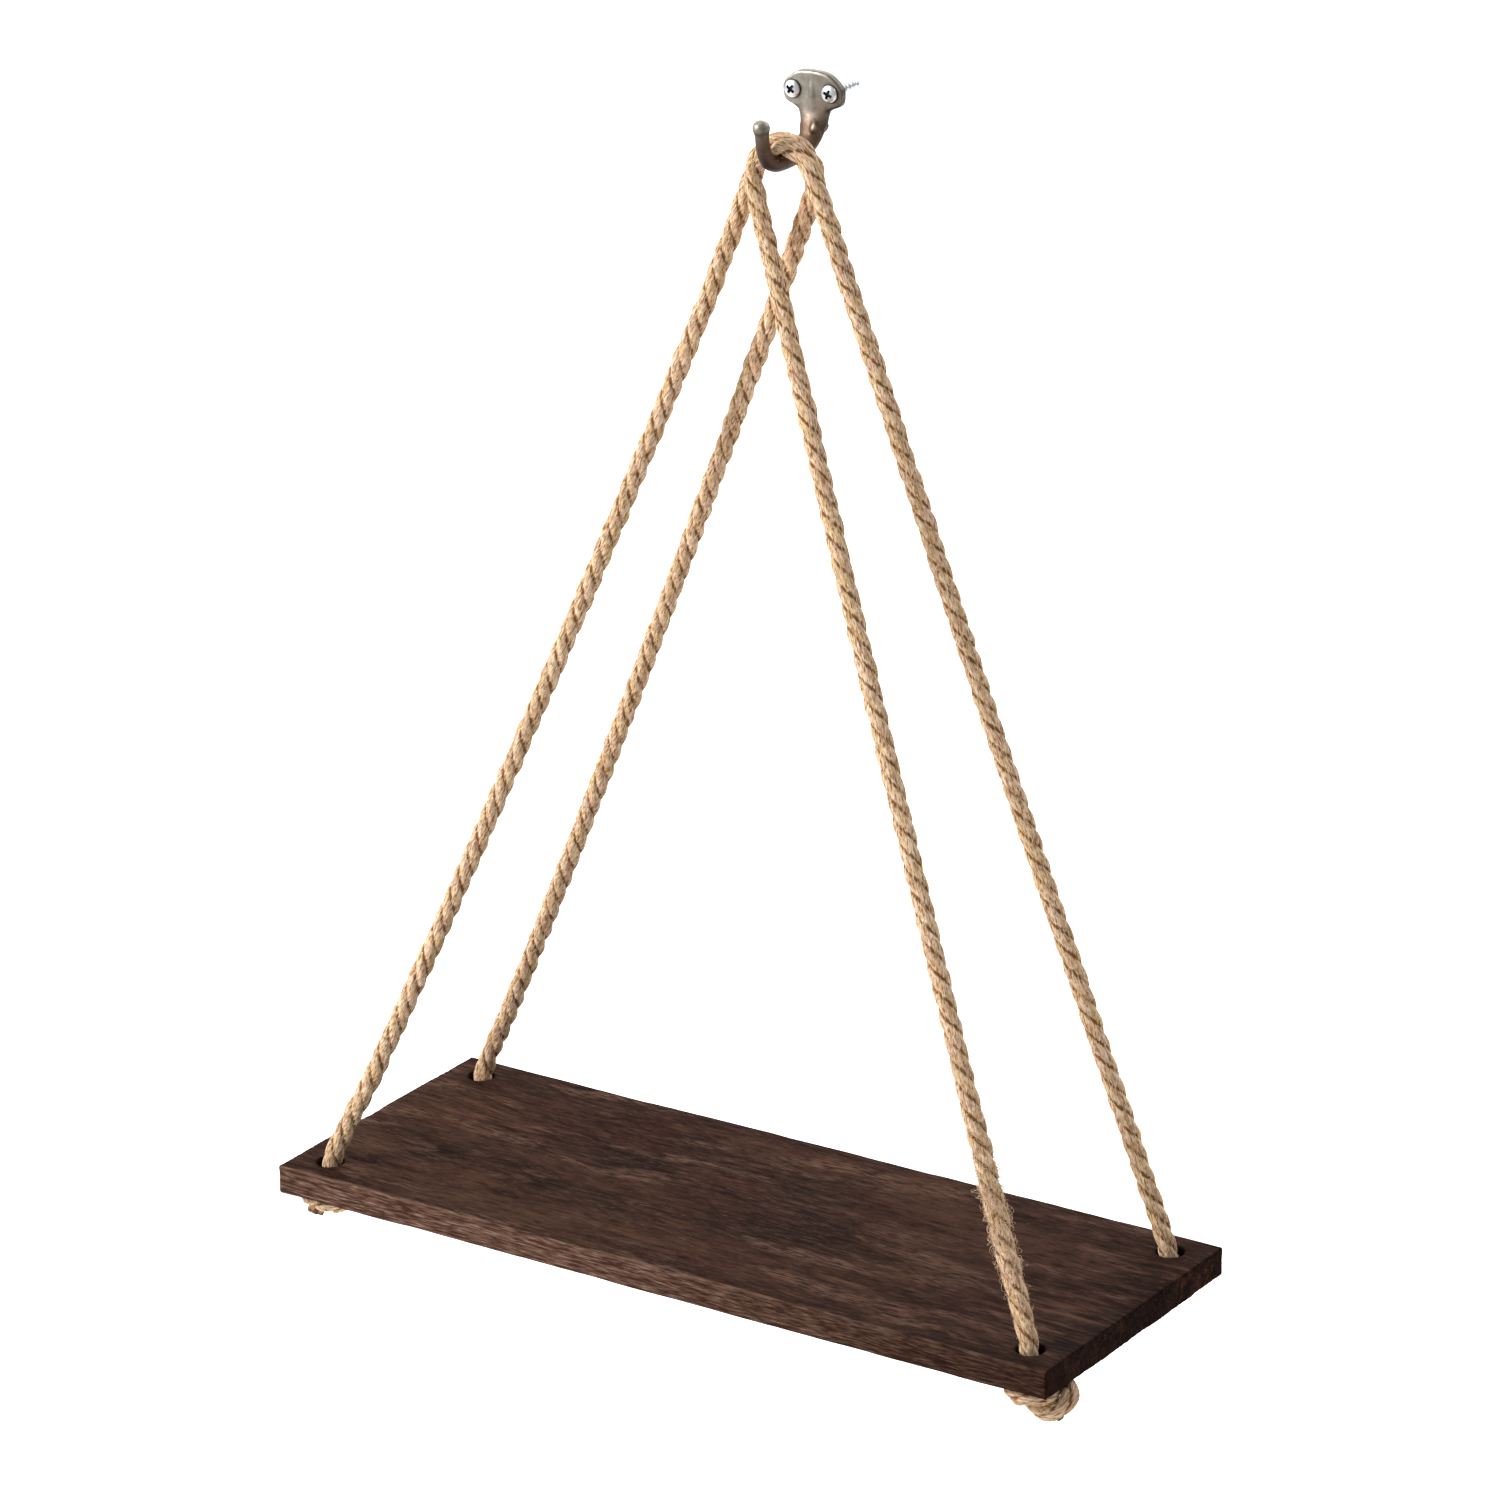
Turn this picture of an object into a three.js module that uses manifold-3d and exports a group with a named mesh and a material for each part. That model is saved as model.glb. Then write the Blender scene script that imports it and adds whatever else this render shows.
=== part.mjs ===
// A hanging rope shelf: a wooden board on two ropes that hang side by side over one cast wall hook.
// Millimetres. +X runs to the right along the wall, +Y into the wall, +Z up.
// The origin is on the wall, midway between the hook's two screws.
import * as THREE from "three";
import { mergeVertices } from "three/addons/utils/BufferGeometryUtils.js";
import Module from "manifold-3d";

const wasm = await Module();
wasm.setup();

// Board
const boardLength = 430;
const boardDepth = 156;
const boardThickness = 14.5;
const boardEdgeRound = 1.2;
const boardCornerRound = 2.4;
const holeFromEnd = 18.5;
const holeFromSide = 17;
const holeSlack = 4;
const holeFlare = 0.6;

// Ropes
const ropeDiameter = 8.6;
const ropeDrop = 501.25;
const loopWidth = 22;
const legSag = 2.6;
const ropeGap = 0.6;
const knotRopeDiameter = 7.4;
const knotTurnGap = 0.65;
const knotStartRise = 14;

// Hook
const armDiameter = 7;
const armReach = 45;
const armDrop = 27.7;
const tipRise = 20.5;
const ballDiameter = 8.5;
const neckWidth = 11.6;
const plateThickness = 4.5;
const plateRise = 9.3;
const plateFall = 20.5;
const plateMargin = 0.7;
const plateEdgeRound = 1.1;
const ridgeHeight = 0.9;
const ridgeWidth = 5.4;

// Screws
const screwSpacing = 20;
const screwHeadDiameter = 8;
const screwHeadHeight = 2.7;
const screwShankDiameter = 3.8;
const screwLength = 25;
const screwTipLength = 5;
const screwHoleClearance = 0.35;
const recessWidth = 4.6;
const recessSlot = 1.1;
const recessDepth = 1.7;

// Fits between pieces
const seatGap = 0.3;
const overrun = 1;
const swingJointRadius = 22;

// Finishes
const walnutStain = new THREE.MeshStandardMaterial({ color: 0x4a342b, roughness: 0.75, metalness: 0 });
const juteRope = new THREE.MeshStandardMaterial({ color: 0xc9a271, roughness: 0.95, metalness: 0 });
const agedPewter = new THREE.MeshStandardMaterial({ color: 0x7d7669, roughness: 0.45, metalness: 0.85 });
const brightSteel = new THREE.MeshStandardMaterial({ color: 0xdadde0, roughness: 0.22, metalness: 1 });

const ropeRadius = ropeDiameter / 2;
const armRadius = armDiameter / 2;
const holeDiameter = ropeDiameter + holeSlack;
const boardMiddleY = -boardDepth / 2;

// Joining and cutting closed solids

function toSolid(geometry) {
  const bare = geometry.index ? geometry.toNonIndexed() : geometry.clone();
  bare.deleteAttribute("normal");
  bare.deleteAttribute("uv");
  const merged = mergeVertices(bare);
  const mesh = new wasm.Mesh({
    numProp: 3,
    vertProperties: Float32Array.from(merged.attributes.position.array),
    triVerts: Uint32Array.from(merged.index.array),
  });
  return new wasm.Manifold(mesh);
}

function toGeometry(solid) {
  const mesh = solid.getMesh();
  const geometry = new THREE.BufferGeometry();
  geometry.setAttribute("position", new THREE.BufferAttribute(mesh.vertProperties, mesh.numProp));
  geometry.setIndex(new THREE.BufferAttribute(mesh.triVerts, 1));
  geometry.computeVertexNormals();
  return geometry;
}

function piece(name, geometry, material) {
  const mesh = new THREE.Mesh(geometry, material);
  mesh.name = name;
  return mesh;
}

// Rings of equal point counts, joined one to the next and closed at both ends
function loft(rings) {
  const count = rings[0].length;
  const points = rings.flat();
  const faces = [];
  for (let row = 0; row + 1 < rings.length; row += 1) {
    for (let i = 0; i < count; i += 1) {
      const next = (i + 1) % count;
      const a = row * count + i;
      const b = row * count + next;
      faces.push(a, b, a + count, b, b + count, a + count);
    }
  }
  const firstCentre = points.length;
  points.push(ringCentre(rings[0]));
  const lastCentre = points.length;
  points.push(ringCentre(rings[rings.length - 1]));
  const lastRow = (rings.length - 1) * count;
  for (let i = 0; i < count; i += 1) {
    const next = (i + 1) % count;
    faces.push(firstCentre, next, i);
    faces.push(lastCentre, lastRow + i, lastRow + next);
  }
  const geometry = new THREE.BufferGeometry();
  const flat = points.flatMap((point) => [point.x, point.y, point.z]);
  geometry.setAttribute("position", new THREE.Float32BufferAttribute(flat, 3));
  geometry.setIndex(faces);
  return geometry;
}

function ringCentre(ring) {
  const sum = ring.reduce((total, point) => total.add(point), new THREE.Vector3());
  return sum.divideScalar(ring.length);
}

// Hook arm: its centre line as seen from the side, in shares of the reach, the drop and the tip's rise

const armRunShares = [
  { out: 0.04, down: 0.28, up: 0 },
  { out: 0.065, down: 0.5, up: 0 },
  { out: 0.105, down: 0.69, up: 0 },
  { out: 0.185, down: 0.85, up: 0 },
  { out: 0.3, down: 0.95, up: 0 },
  { out: 0.44, down: 0.99, up: 0 },
  { out: 0.6, down: 1, up: 0 },
  { out: 0.76, down: 1, up: 0.025 },
  { out: 0.885, down: 1, up: 0.15 },
  { out: 0.958, down: 1, up: 0.38 },
  { out: 0.99, down: 1, up: 0.66 },
  { out: 1, down: 1, up: 0.86 },
];
// The arm's width and thickness along that line, in shares of the neck's width and the arm's diameter
const armSectionShares = [
  { at: 0, neck: 0.9, thick: 0.7 },
  { at: 0.07, neck: 1, thick: 1.06 },
  { at: 0.15, neck: 0.98, thick: 1.2 },
  { at: 0.24, neck: 0.84, thick: 1.13 },
  { at: 0.36, neck: 0.69, thick: 1.03 },
  { at: 0.5, neck: 0.62, thick: 1 },
  { at: 0.75, neck: 0.61, thick: 1 },
  { at: 1, neck: 0.58, thick: 0.94 },
];
const armCentreLine = new THREE.CatmullRomCurve3(
  armRunShares.map(
    ({ out, down, up }) => new THREE.Vector3(0, -out * armReach, up * tipRise - down * armDrop),
  ),
  false,
  "centripetal",
);
const armStations = 30;
const armSides = 20;

function armSection(at) {
  const last = armSectionShares.length - 1;
  let row = 0;
  while (row < last - 1 && armSectionShares[row + 1].at < at) row += 1;
  const from = armSectionShares[row];
  const to = armSectionShares[row + 1];
  const share = (at - from.at) / (to.at - from.at);
  return {
    halfWidth: (THREE.MathUtils.lerp(from.neck, to.neck, share) * neckWidth) / 2,
    halfThick: (THREE.MathUtils.lerp(from.thick, to.thick, share) * armDiameter) / 2,
  };
}

function armSolid() {
  const rings = [];
  for (let station = 0; station <= armStations; station += 1) {
    const at = station / armStations;
    const centre = armCentreLine.getPointAt(at);
    const along = armCentreLine.getTangentAt(at);
    const across = new THREE.Vector3(1, 0, 0);
    const outward = new THREE.Vector3().crossVectors(along, across).normalize();
    const { halfWidth, halfThick } = armSection(at);
    const ring = [];
    for (let i = 0; i < armSides; i += 1) {
      const angle = (i / armSides) * 2 * Math.PI;
      const point = centre.clone();
      point.addScaledVector(across, Math.cos(angle) * halfWidth);
      point.addScaledVector(outward, Math.sin(angle) * halfThick);
      ring.push(point);
    }
    rings.push(ring);
  }
  return toSolid(loft(rings));
}

function ballSolid() {
  const ball = new THREE.SphereGeometry(ballDiameter / 2, armSides, armSides / 2);
  const tip = armCentreLine.getPointAt(1);
  const onward = armCentreLine.getTangentAt(1);
  tip.addScaledVector(onward, ballDiameter / 4);
  ball.translate(tip.x, tip.y, tip.z);
  return toSolid(ball);
}

// Hook plate: a shield that is widest at the screws and narrows to the neck

const plateHalfWidth = screwSpacing / 2 + screwHeadDiameter / 2 + plateMargin;
const neckHalfWidth = neckWidth / 2;
// Right half of the outline from the top down: shares of the half width, and of the rise or the fall
const shieldShares = [
  { out: 0.3, up: 0.98, down: 0 },
  { out: 0.58, up: 0.88, down: 0 },
  { out: 0.84, up: 0.58, down: 0 },
  { out: 0.97, up: 0.24, down: 0 },
  { out: 1, up: 0, down: 0.015 },
  { out: 0.96, up: 0, down: 0.175 },
  { out: 0.82, up: 0, down: 0.3 },
];
const neckOutlineShares = [
  { out: 1.3, down: 0.41 },
  { out: 1.06, down: 0.56 },
  { out: 0.98, down: 0.76 },
  { out: 0.78, down: 0.93 },
  { out: 0.3, down: 1 },
];

const shieldOutlineSteps = 72;

function shieldShape() {
  const right = shieldShares.map(
    ({ out, up, down }) => new THREE.Vector2(out * plateHalfWidth, up * plateRise - down * plateFall),
  );
  for (const { out, down } of neckOutlineShares) {
    right.push(new THREE.Vector2(out * neckHalfWidth, -down * plateFall));
  }
  const left = right.map((point) => new THREE.Vector2(-point.x, point.y)).reverse();
  const corners = [new THREE.Vector2(0, plateRise), ...right, ...left];
  const outline = new THREE.CatmullRomCurve3(
    corners.map((point) => new THREE.Vector3(point.x, point.y, 0)),
    true,
    "centripetal",
  );
  const points = outline.getPoints(shieldOutlineSteps).slice(0, -1);
  return new THREE.Shape(points.map((point) => new THREE.Vector2(point.x, point.y)));
}

function plateSolid() {
  const plate = new THREE.ExtrudeGeometry(shieldShape(), {
    depth: plateThickness,
    bevelEnabled: true,
    bevelThickness: plateEdgeRound,
    bevelSize: plateEdgeRound,
    bevelOffset: -plateEdgeRound,
    bevelSegments: 3,
  });
  // the bevel at the far end is buried in the wall and is sliced off below
  plate.rotateX(Math.PI / 2);
  plate.translate(0, plateEdgeRound, 0);
  const behindWall = new THREE.BoxGeometry(boardLength, plateThickness, boardLength);
  behindWall.translate(0, plateThickness / 2, 0);
  return toSolid(plate).subtract(toSolid(behindWall));
}

// A low cast ridge that runs down the middle of the plate into the arm
function ridgeSolid() {
  const ridge = new THREE.SphereGeometry(1, armSides, armSides / 2);
  const ridgeHalfHeight = (plateRise + plateFall) / 2;
  ridge.scale(ridgeWidth / 2, ridgeHeight + plateEdgeRound, ridgeHalfHeight);
  ridge.translate(0, plateEdgeRound - plateThickness, plateRise - ridgeHalfHeight - plateEdgeRound);
  return toSolid(ridge);
}

function screwHoleSolid(side) {
  const radius = screwShankDiameter / 2 + screwHoleClearance;
  const hole = new THREE.CylinderGeometry(radius, radius, 2 * plateThickness + 2 * overrun, armSides);
  hole.translate((side * screwSpacing) / 2, 0, 0);
  return toSolid(hole);
}

function hookGeometry() {
  let hook = plateSolid().add(armSolid()).add(ballSolid()).add(ridgeSolid());
  const behindWall = new THREE.BoxGeometry(boardLength, plateThickness, boardLength);
  behindWall.translate(0, plateThickness / 2, 0);
  hook = hook.subtract(toSolid(behindWall));
  for (const side of [-1, 1]) {
    hook = hook.subtract(screwHoleSolid(side));
  }
  return toGeometry(hook);
}

// Screws: a domed head with a cross recess, a shank and a point

const headTopY = -plateThickness - seatGap - screwHeadHeight;
const headRimShare = 0.3;
const headDomeSteps = 6;

function screwBodyGeometry() {
  const headRadius = screwHeadDiameter / 2;
  const shankRadius = screwShankDiameter / 2;
  const rim = screwHeadHeight * headRimShare;
  const dome = screwHeadHeight - rim;
  const profile = [];
  for (let step = 0; step <= headDomeSteps; step += 1) {
    const angle = ((step / headDomeSteps) * Math.PI) / 2;
    profile.push(new THREE.Vector2(Math.sin(angle) * headRadius, dome * (1 - Math.cos(angle))));
  }
  profile.push(new THREE.Vector2(headRadius, screwHeadHeight));
  profile.push(new THREE.Vector2(shankRadius, screwHeadHeight));
  profile.push(new THREE.Vector2(shankRadius, screwHeadHeight + screwLength - screwTipLength));
  profile.push(new THREE.Vector2(0, screwHeadHeight + screwLength));
  profile[0].x = 0;
  return new THREE.LatheGeometry(profile, armSides);
}

function recessSolid() {
  const wing = new THREE.BoxGeometry(recessWidth, 2 * recessDepth, recessSlot);
  const crossWing = new THREE.BoxGeometry(recessSlot, 2 * recessDepth, recessWidth);
  return toSolid(wing).add(toSolid(crossWing));
}

function screwGeometry(side) {
  const screw = toGeometry(toSolid(screwBodyGeometry()).subtract(recessSolid()));
  screw.translate((side * screwSpacing) / 2, headTopY, 0);
  return screw;
}

// Rope seats on the arm: how high a rope's centre lies when it rests on the arm at a given reach

const seatSpacing = armRadius + seatGap + ropeRadius;
const seatSamples = 200;

function armSeat(out) {
  let height = -armDrop;
  for (let i = 0; i <= seatSamples; i += 1) {
    const point = armCentreLine.getPointAt(i / seatSamples);
    const aside = out + point.y;
    const past = seatSpacing * seatSpacing - aside * aside;
    const onTheArm = point.z < -armDrop / 2;
    if (past > 0 && onTheArm) height = Math.max(height, point.z + Math.sqrt(past));
  }
  return height;
}

const rightLoopOutShare = 0.735;
const rightLoopOut = armReach * rightLoopOutShare;
const leftLoopOut = rightLoopOut - ropeDiameter - ropeGap;
const pivotOut = (rightLoopOut + leftLoopOut) / 2;
const pivotHeight = armSeat(pivotOut) - seatSpacing;
const boardTop = armSeat(pivotOut) - ropeDrop;
const boardUnderside = boardTop - boardThickness;

function holeCentre(side, row) {
  const x = side * (boardLength / 2 - holeFromEnd);
  const y = boardMiddleY + row * (boardDepth / 2 - holeFromSide);
  return new THREE.Vector2(x, y);
}

// Each rope hangs over the arm in a round loop that has swung a little round the arm, to the side it is
// pulled to. Its front stretch leaves the loop on the left and its back stretch on the right, each at a
// tangent to its own hole.

const loopRadius = loopWidth / 2 + ropeRadius;
const loopSteps = 10;
const legSteps = 12;
const squareShare = 0.02;
const mouthInsetShare = 0.17;
const mouthRiseShare = 0.2;
const mouthInset = ropeDiameter * mouthInsetShare;
const mouthHeight = boardTop + ropeDiameter * mouthRiseShare;

function loopCentre({ loopOut, loopLean }) {
  const swing = loopRadius - seatSpacing;
  const armMiddle = armSeat(loopOut) - seatSpacing;
  return new THREE.Vector3(Math.sin(loopLean) * swing, -loopOut, armMiddle - Math.cos(loopLean) * swing);
}

// The angle between straight down and a tangent from one side of a loop to a hole
function leaveAngle(hole, centre, exitSide) {
  const aside = hole.x - centre.x;
  const fall = centre.z - boardTop;
  return Math.atan2(aside, fall) - Math.asin((exitSide * loopRadius) / Math.hypot(aside, fall));
}

// The place across the wall's depth of a rope at a height, on its way from the top of its loop to the
// mouth of its hole: it crosses the arm square and soon runs straight
function ropeDepth(height, centre, mouth) {
  const top = centre.z + loopRadius;
  const fall = (top - height) / (top - mouth.z);
  const share = ((fall * fall) / (fall + squareShare)) * (1 + squareShare);
  return THREE.MathUtils.lerp(centre.y, mouth.y, share);
}

// From a hole's middle towards the hook, as seen from above
function towardsHook(hole, loopOut) {
  return new THREE.Vector3(-hole.x, -loopOut - hole.y, 0).normalize();
}

// How much of its sideways bow a stretch has: the stiff rope bows out soon after each of its ends
function bowShare(share) {
  return 1 - (2 * share - 1) ** 4;
}

// Points from a loop's tangent point down to the mouth of one hole
function legPoints(hole, rope, exitSide, bow) {
  const centre = loopCentre(rope);
  const lean = leaveAngle(hole, centre, exitSide);
  const leaving = new THREE.Vector3(Math.cos(lean), 0, Math.sin(lean));
  const top = centre.clone().addScaledVector(leaving, exitSide * loopRadius);
  const mouth = new THREE.Vector3(hole.x, hole.y, mouthHeight);
  mouth.addScaledVector(towardsHook(hole, rope.loopOut), mouthInset);
  const straight = new THREE.Vector3().subVectors(mouth, top).normalize();
  const sagging = new THREE.Vector3(0, 0, -1).addScaledVector(straight, straight.z).normalize();
  const points = [];
  for (let step = 0; step <= legSteps; step += 1) {
    const share = step / legSteps;
    const point = top.clone().lerp(mouth, share);
    point.y = ropeDepth(point.z, centre, mouth);
    point.x += bow * bowShare(share);
    point.addScaledVector(sagging, 4 * legSag * share * (1 - share));
    points.push(point);
  }
  return { points, lean, mouth };
}

// Down through a hole: how far the rope still stands off the hole's middle, and how deep in the board
const throughShares = [
  { inset: 0.35, depth: 0.4 },
  { inset: 0.08, depth: 0.85 },
];
// The overhand knot under a hole, in shares of the space from one turn of the knot to the next: the
// standing part drops out of the hole, bends up and once round itself, and the tail comes out below.
const knotShares = [
  [0.05, -0.22, -0.56],
  [0.13, -0.46, -1.04],
  [0.38, -0.78, -1.39],
  [0.82, -1.06, -1.5],
  [1.32, -1.22, -1.38],
  [1.79, -1.2, -1.06],
  [2.09, -0.92, -0.73],
  [2.16, -0.42, -0.54],
  [2.04, 0.1, -0.5],
  [1.7, 0.53, -0.5],
  [1.21, 0.76, -0.5],
  [0.7, 0.82, -0.5],
  [0.19, 0.86, -0.5],
  [-0.34, 0.79, -0.5],
  [-0.77, 0.45, -0.5],
  [-0.97, -0.04, -0.5],
  [-0.94, -0.58, -0.5],
  [-0.67, -1.06, -0.49],
  [-0.2, -1.35, -0.47],
  [0.34, -1.38, -0.45],
  [0.8, -1.1, -0.45],
  [1.05, -0.64, -0.54],
  [1.14, -0.22, -0.87],
  [1.2, 0.11, -1.3],
];
// The tail that hangs from a knot. Each knot has only as many of these points as its tail is long.
const tailShares = [
  [1.27, 0.36, -1.75],
  [1.33, 0.48, -2.2],
  [1.37, 0.55, -2.6],
];
const knotRadius = knotRopeDiameter / 2;
const knotSpacing = knotRopeDiameter + knotTurnGap;
// The knot's highest turns bear on the board's underside
const knotHighestShare = -0.45;
const knotHeight = boardUnderside - seatGap - knotRadius - knotSpacing * knotHighestShare;

// Points from the mouth of a hole down through it and round its knot to the tail
function knotPoints(hole, loopOut, { turn, tailPoints }) {
  const hook = towardsHook(hole, loopOut);
  const through = throughShares.map(({ inset, depth }) => {
    const point = new THREE.Vector3(hole.x, hole.y, boardTop - boardThickness * depth);
    return point.addScaledVector(hook, mouthInset * inset);
  });
  const knot = [...knotShares, ...tailShares.slice(0, tailPoints)].map((shares) => {
    const point = new THREE.Vector3(...shares).multiplyScalar(knotSpacing);
    point.applyAxisAngle(new THREE.Vector3(0, 0, 1), turn);
    return point.add(new THREE.Vector3(hole.x, hole.y, knotHeight));
  });
  return [...through, ...knot];
}

// A rope's centre line, from its tail in front over the hook to its tail at the back
function ropeCentreLine(rope) {
  const { side, loopOut, front, back } = rope;
  const frontHole = holeCentre(side, -1);
  const backHole = holeCentre(side, 1);
  const frontLeg = legPoints(frontHole, rope, -1, front.bow);
  const backLeg = legPoints(backHole, rope, 1, back.bow);
  const centre = loopCentre(rope);
  const arc = [];
  for (let step = 1; step < loopSteps; step += 1) {
    const angle = THREE.MathUtils.lerp(Math.PI + frontLeg.lean, backLeg.lean, step / loopSteps);
    const point = new THREE.Vector3(Math.cos(angle), 0, Math.sin(angle)).multiplyScalar(loopRadius);
    point.add(centre);
    const { mouth } = angle > Math.PI / 2 ? frontLeg : backLeg;
    point.y = ropeDepth(point.z, centre, mouth);
    arc.push(point);
  }
  const toFrontTail = [...frontLeg.points, ...knotPoints(frontHole, loopOut, front)];
  const toBackTail = [...backLeg.points, ...knotPoints(backHole, loopOut, back)];
  const points = [...toFrontTail.reverse(), ...arc, ...toBackTail];
  const line = new THREE.CatmullRomCurve3(points, false, "centripetal");
  line.arcLengthDivisions = 3000;
  return line;
}

// One stretch of a longer curve
class Stretch extends THREE.Curve {
  constructor(whole, from, to) {
    super();
    this.whole = whole;
    this.from = from;
    this.to = to;
  }
  getPoint(share, target = new THREE.Vector3()) {
    return this.whole.getPointAt(THREE.MathUtils.lerp(this.from, this.to, share), target);
  }
}

const ropeSides = 10;

function tube(curve, diameter, steps) {
  const section = new THREE.Shape();
  section.absarc(0, 0, diameter / 2, 0, 2 * Math.PI);
  return new THREE.ExtrudeGeometry(section, {
    steps,
    curveSegments: ropeSides,
    bevelEnabled: false,
    extrudePath: curve,
  });
}

// The share of a rope's length, from one tail, at which its centre line first reaches a height
const heightSamples = 3000;

function shareAtHeight(line, height, tail) {
  for (let i = 0; i <= heightSamples; i += 1) {
    const share = tail === 0 ? i / heightSamples : 1 - i / heightSamples;
    if (line.getPointAt(share).z >= height) return share;
  }
  return tail;
}

const hangingTubeSteps = 18;
const loopTubeSteps = 20;
const trimSides = 72;

// A cylinder about the line through the loops' seat on which the shelf swings out from the wall
function swingCylinder(radius) {
  const cylinder = new THREE.CylinderGeometry(radius, radius, boardLength, trimSides);
  cylinder.rotateZ(Math.PI / 2);
  cylinder.translate(0, -pivotOut, pivotHeight);
  return toSolid(cylinder);
}

// Everything below a height, or above it, as a block to cut ropes square with
function blockBelow(height) {
  const block = new THREE.BoxGeometry(2 * boardLength, 2 * boardDepth, boardLength);
  block.translate(0, boardMiddleY, height - boardLength / 2);
  return toSolid(block);
}

function blockAbove(height) {
  return blockBelow(height + boardLength);
}

function loopGeometry(line) {
  const height = pivotHeight - swingJointRadius - ropeDiameter;
  const stretch = new Stretch(line, shareAtHeight(line, height, 0), shareAtHeight(line, height, 1));
  const whole = toSolid(tube(stretch, ropeDiameter, loopTubeSteps));
  return toGeometry(whole.intersect(swingCylinder(swingJointRadius)));
}

function hangingGeometry(line, tail) {
  const bottom = boardTop + knotStartRise;
  const from = shareAtHeight(line, bottom - ropeDiameter, tail);
  const to = shareAtHeight(line, pivotHeight - swingJointRadius + ropeDiameter, tail);
  const whole = toSolid(tube(new Stretch(line, from, to), ropeDiameter, hangingTubeSteps));
  return toGeometry(whole.subtract(swingCylinder(swingJointRadius + seatGap)).subtract(blockBelow(bottom)));
}

// The least clear space between turns of a knot that lie side by side, measured on points
const gapSamples = 300;

function leastKnotGap(stretch) {
  const points = stretch.getSpacedPoints(gapSamples).filter((point) => point.z < boardUnderside);
  const spacing = stretch.getLength() / gapSamples;
  const nextTurn = Math.ceil((2 * knotRopeDiameter) / spacing);
  let least = Infinity;
  points.forEach((point, i) => {
    for (const other of points.slice(i + nextTurn)) least = Math.min(least, point.distanceTo(other));
  });
  return least - knotRopeDiameter;
}

const knotStations = 62;
const knotSides = 9;

// From a little above the board to the tail: full size at the top, and drawn tight below the board
function knotGeometry(name, line, tail) {
  const top = boardTop + knotStartRise - seatGap;
  const stretch = new Stretch(line, shareAtHeight(line, top + ropeDiameter, tail), tail);
  console.log(`${name}: least gap ${leastKnotGap(stretch).toFixed(2)} mm`);
  const frames = stretch.computeFrenetFrames(knotStations, false);
  const rings = [];
  for (let station = 0; station <= knotStations; station += 1) {
    const centre = stretch.getPointAt(station / knotStations);
    const squeeze = THREE.MathUtils.clamp((boardTop - centre.z) / boardThickness, 0, 1);
    const radius = THREE.MathUtils.lerp(ropeRadius, knotRadius, squeeze);
    const ring = [];
    for (let i = 0; i < knotSides; i += 1) {
      const angle = (i / knotSides) * 2 * Math.PI;
      const point = centre.clone();
      point.addScaledVector(frames.normals[station], Math.cos(angle) * radius);
      point.addScaledVector(frames.binormals[station], Math.sin(angle) * radius);
      ring.push(point);
    }
    rings.push(ring);
  }
  return toGeometry(toSolid(loft(rings)).subtract(blockAbove(top)));
}

// Board: one plank with eased edges, drilled at its four corners

const holeFlareSteps = 3;
const holeSides = 32;

// A drilled hole with eased mouths, as a solid to cut from the plank
function holeSolid(side, row) {
  const radius = holeDiameter / 2;
  const lower = [new THREE.Vector2(0, -overrun), new THREE.Vector2(radius + holeFlare, -overrun)];
  for (let step = 0; step <= holeFlareSteps; step += 1) {
    const angle = ((step / holeFlareSteps) * Math.PI) / 2;
    const out = radius + holeFlare * (1 - Math.sin(angle));
    lower.push(new THREE.Vector2(out, holeFlare * (1 - Math.cos(angle))));
  }
  const upper = lower.map((point) => new THREE.Vector2(point.x, boardThickness - point.y)).reverse();
  const hole = new THREE.LatheGeometry([...lower, ...upper], holeSides);
  hole.rotateX(Math.PI / 2);
  const centre = holeCentre(side, row);
  hole.translate(centre.x, centre.y, boardUnderside);
  return toSolid(hole);
}

function boardGeometry() {
  const left = boardCornerRound - boardLength / 2;
  const front = boardCornerRound - boardDepth / 2;
  const outline = new THREE.Shape();
  const corners = [[left, front], [-left, front], [-left, -front], [left, -front]];
  corners.forEach(([x, y], i) => {
    const start = Math.PI + (i * Math.PI) / 2;
    outline.absarc(x, y, boardCornerRound, start, start + Math.PI / 2);
  });
  const plank = new THREE.ExtrudeGeometry(outline, {
    depth: boardThickness - 2 * boardEdgeRound,
    curveSegments: 5,
    bevelEnabled: true,
    bevelThickness: boardEdgeRound,
    bevelSize: boardEdgeRound,
    bevelOffset: -boardEdgeRound,
    bevelSegments: 3,
  });
  plank.translate(0, boardMiddleY, boardUnderside + boardEdgeRound);
  let board = toSolid(plank);
  for (const side of [-1, 1]) {
    for (const row of [-1, 1]) {
      board = board.subtract(holeSolid(side, row));
    }
  }
  return toGeometry(board);
}

// The whole shelf, as it hangs on the wall. Each stretch of rope has its own bow, and each knot is
// turned as it was pulled tight and has its own length of tail.

const ropes = [
  {
    word: "left",
    side: -1,
    loopOut: leftLoopOut,
    loopLean: -0.135,
    front: { bow: 2.6, turn: 2.9, tailPoints: 1 },
    back: { bow: 1.3, turn: 5.8, tailPoints: 3 },
  },
  {
    word: "right",
    side: 1,
    loopOut: rightLoopOut,
    loopLean: 0.55,
    front: { bow: 0, turn: 0.6, tailPoints: 3 },
    back: { bow: 1.7, turn: 4.2, tailPoints: 1 },
  },
];

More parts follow.
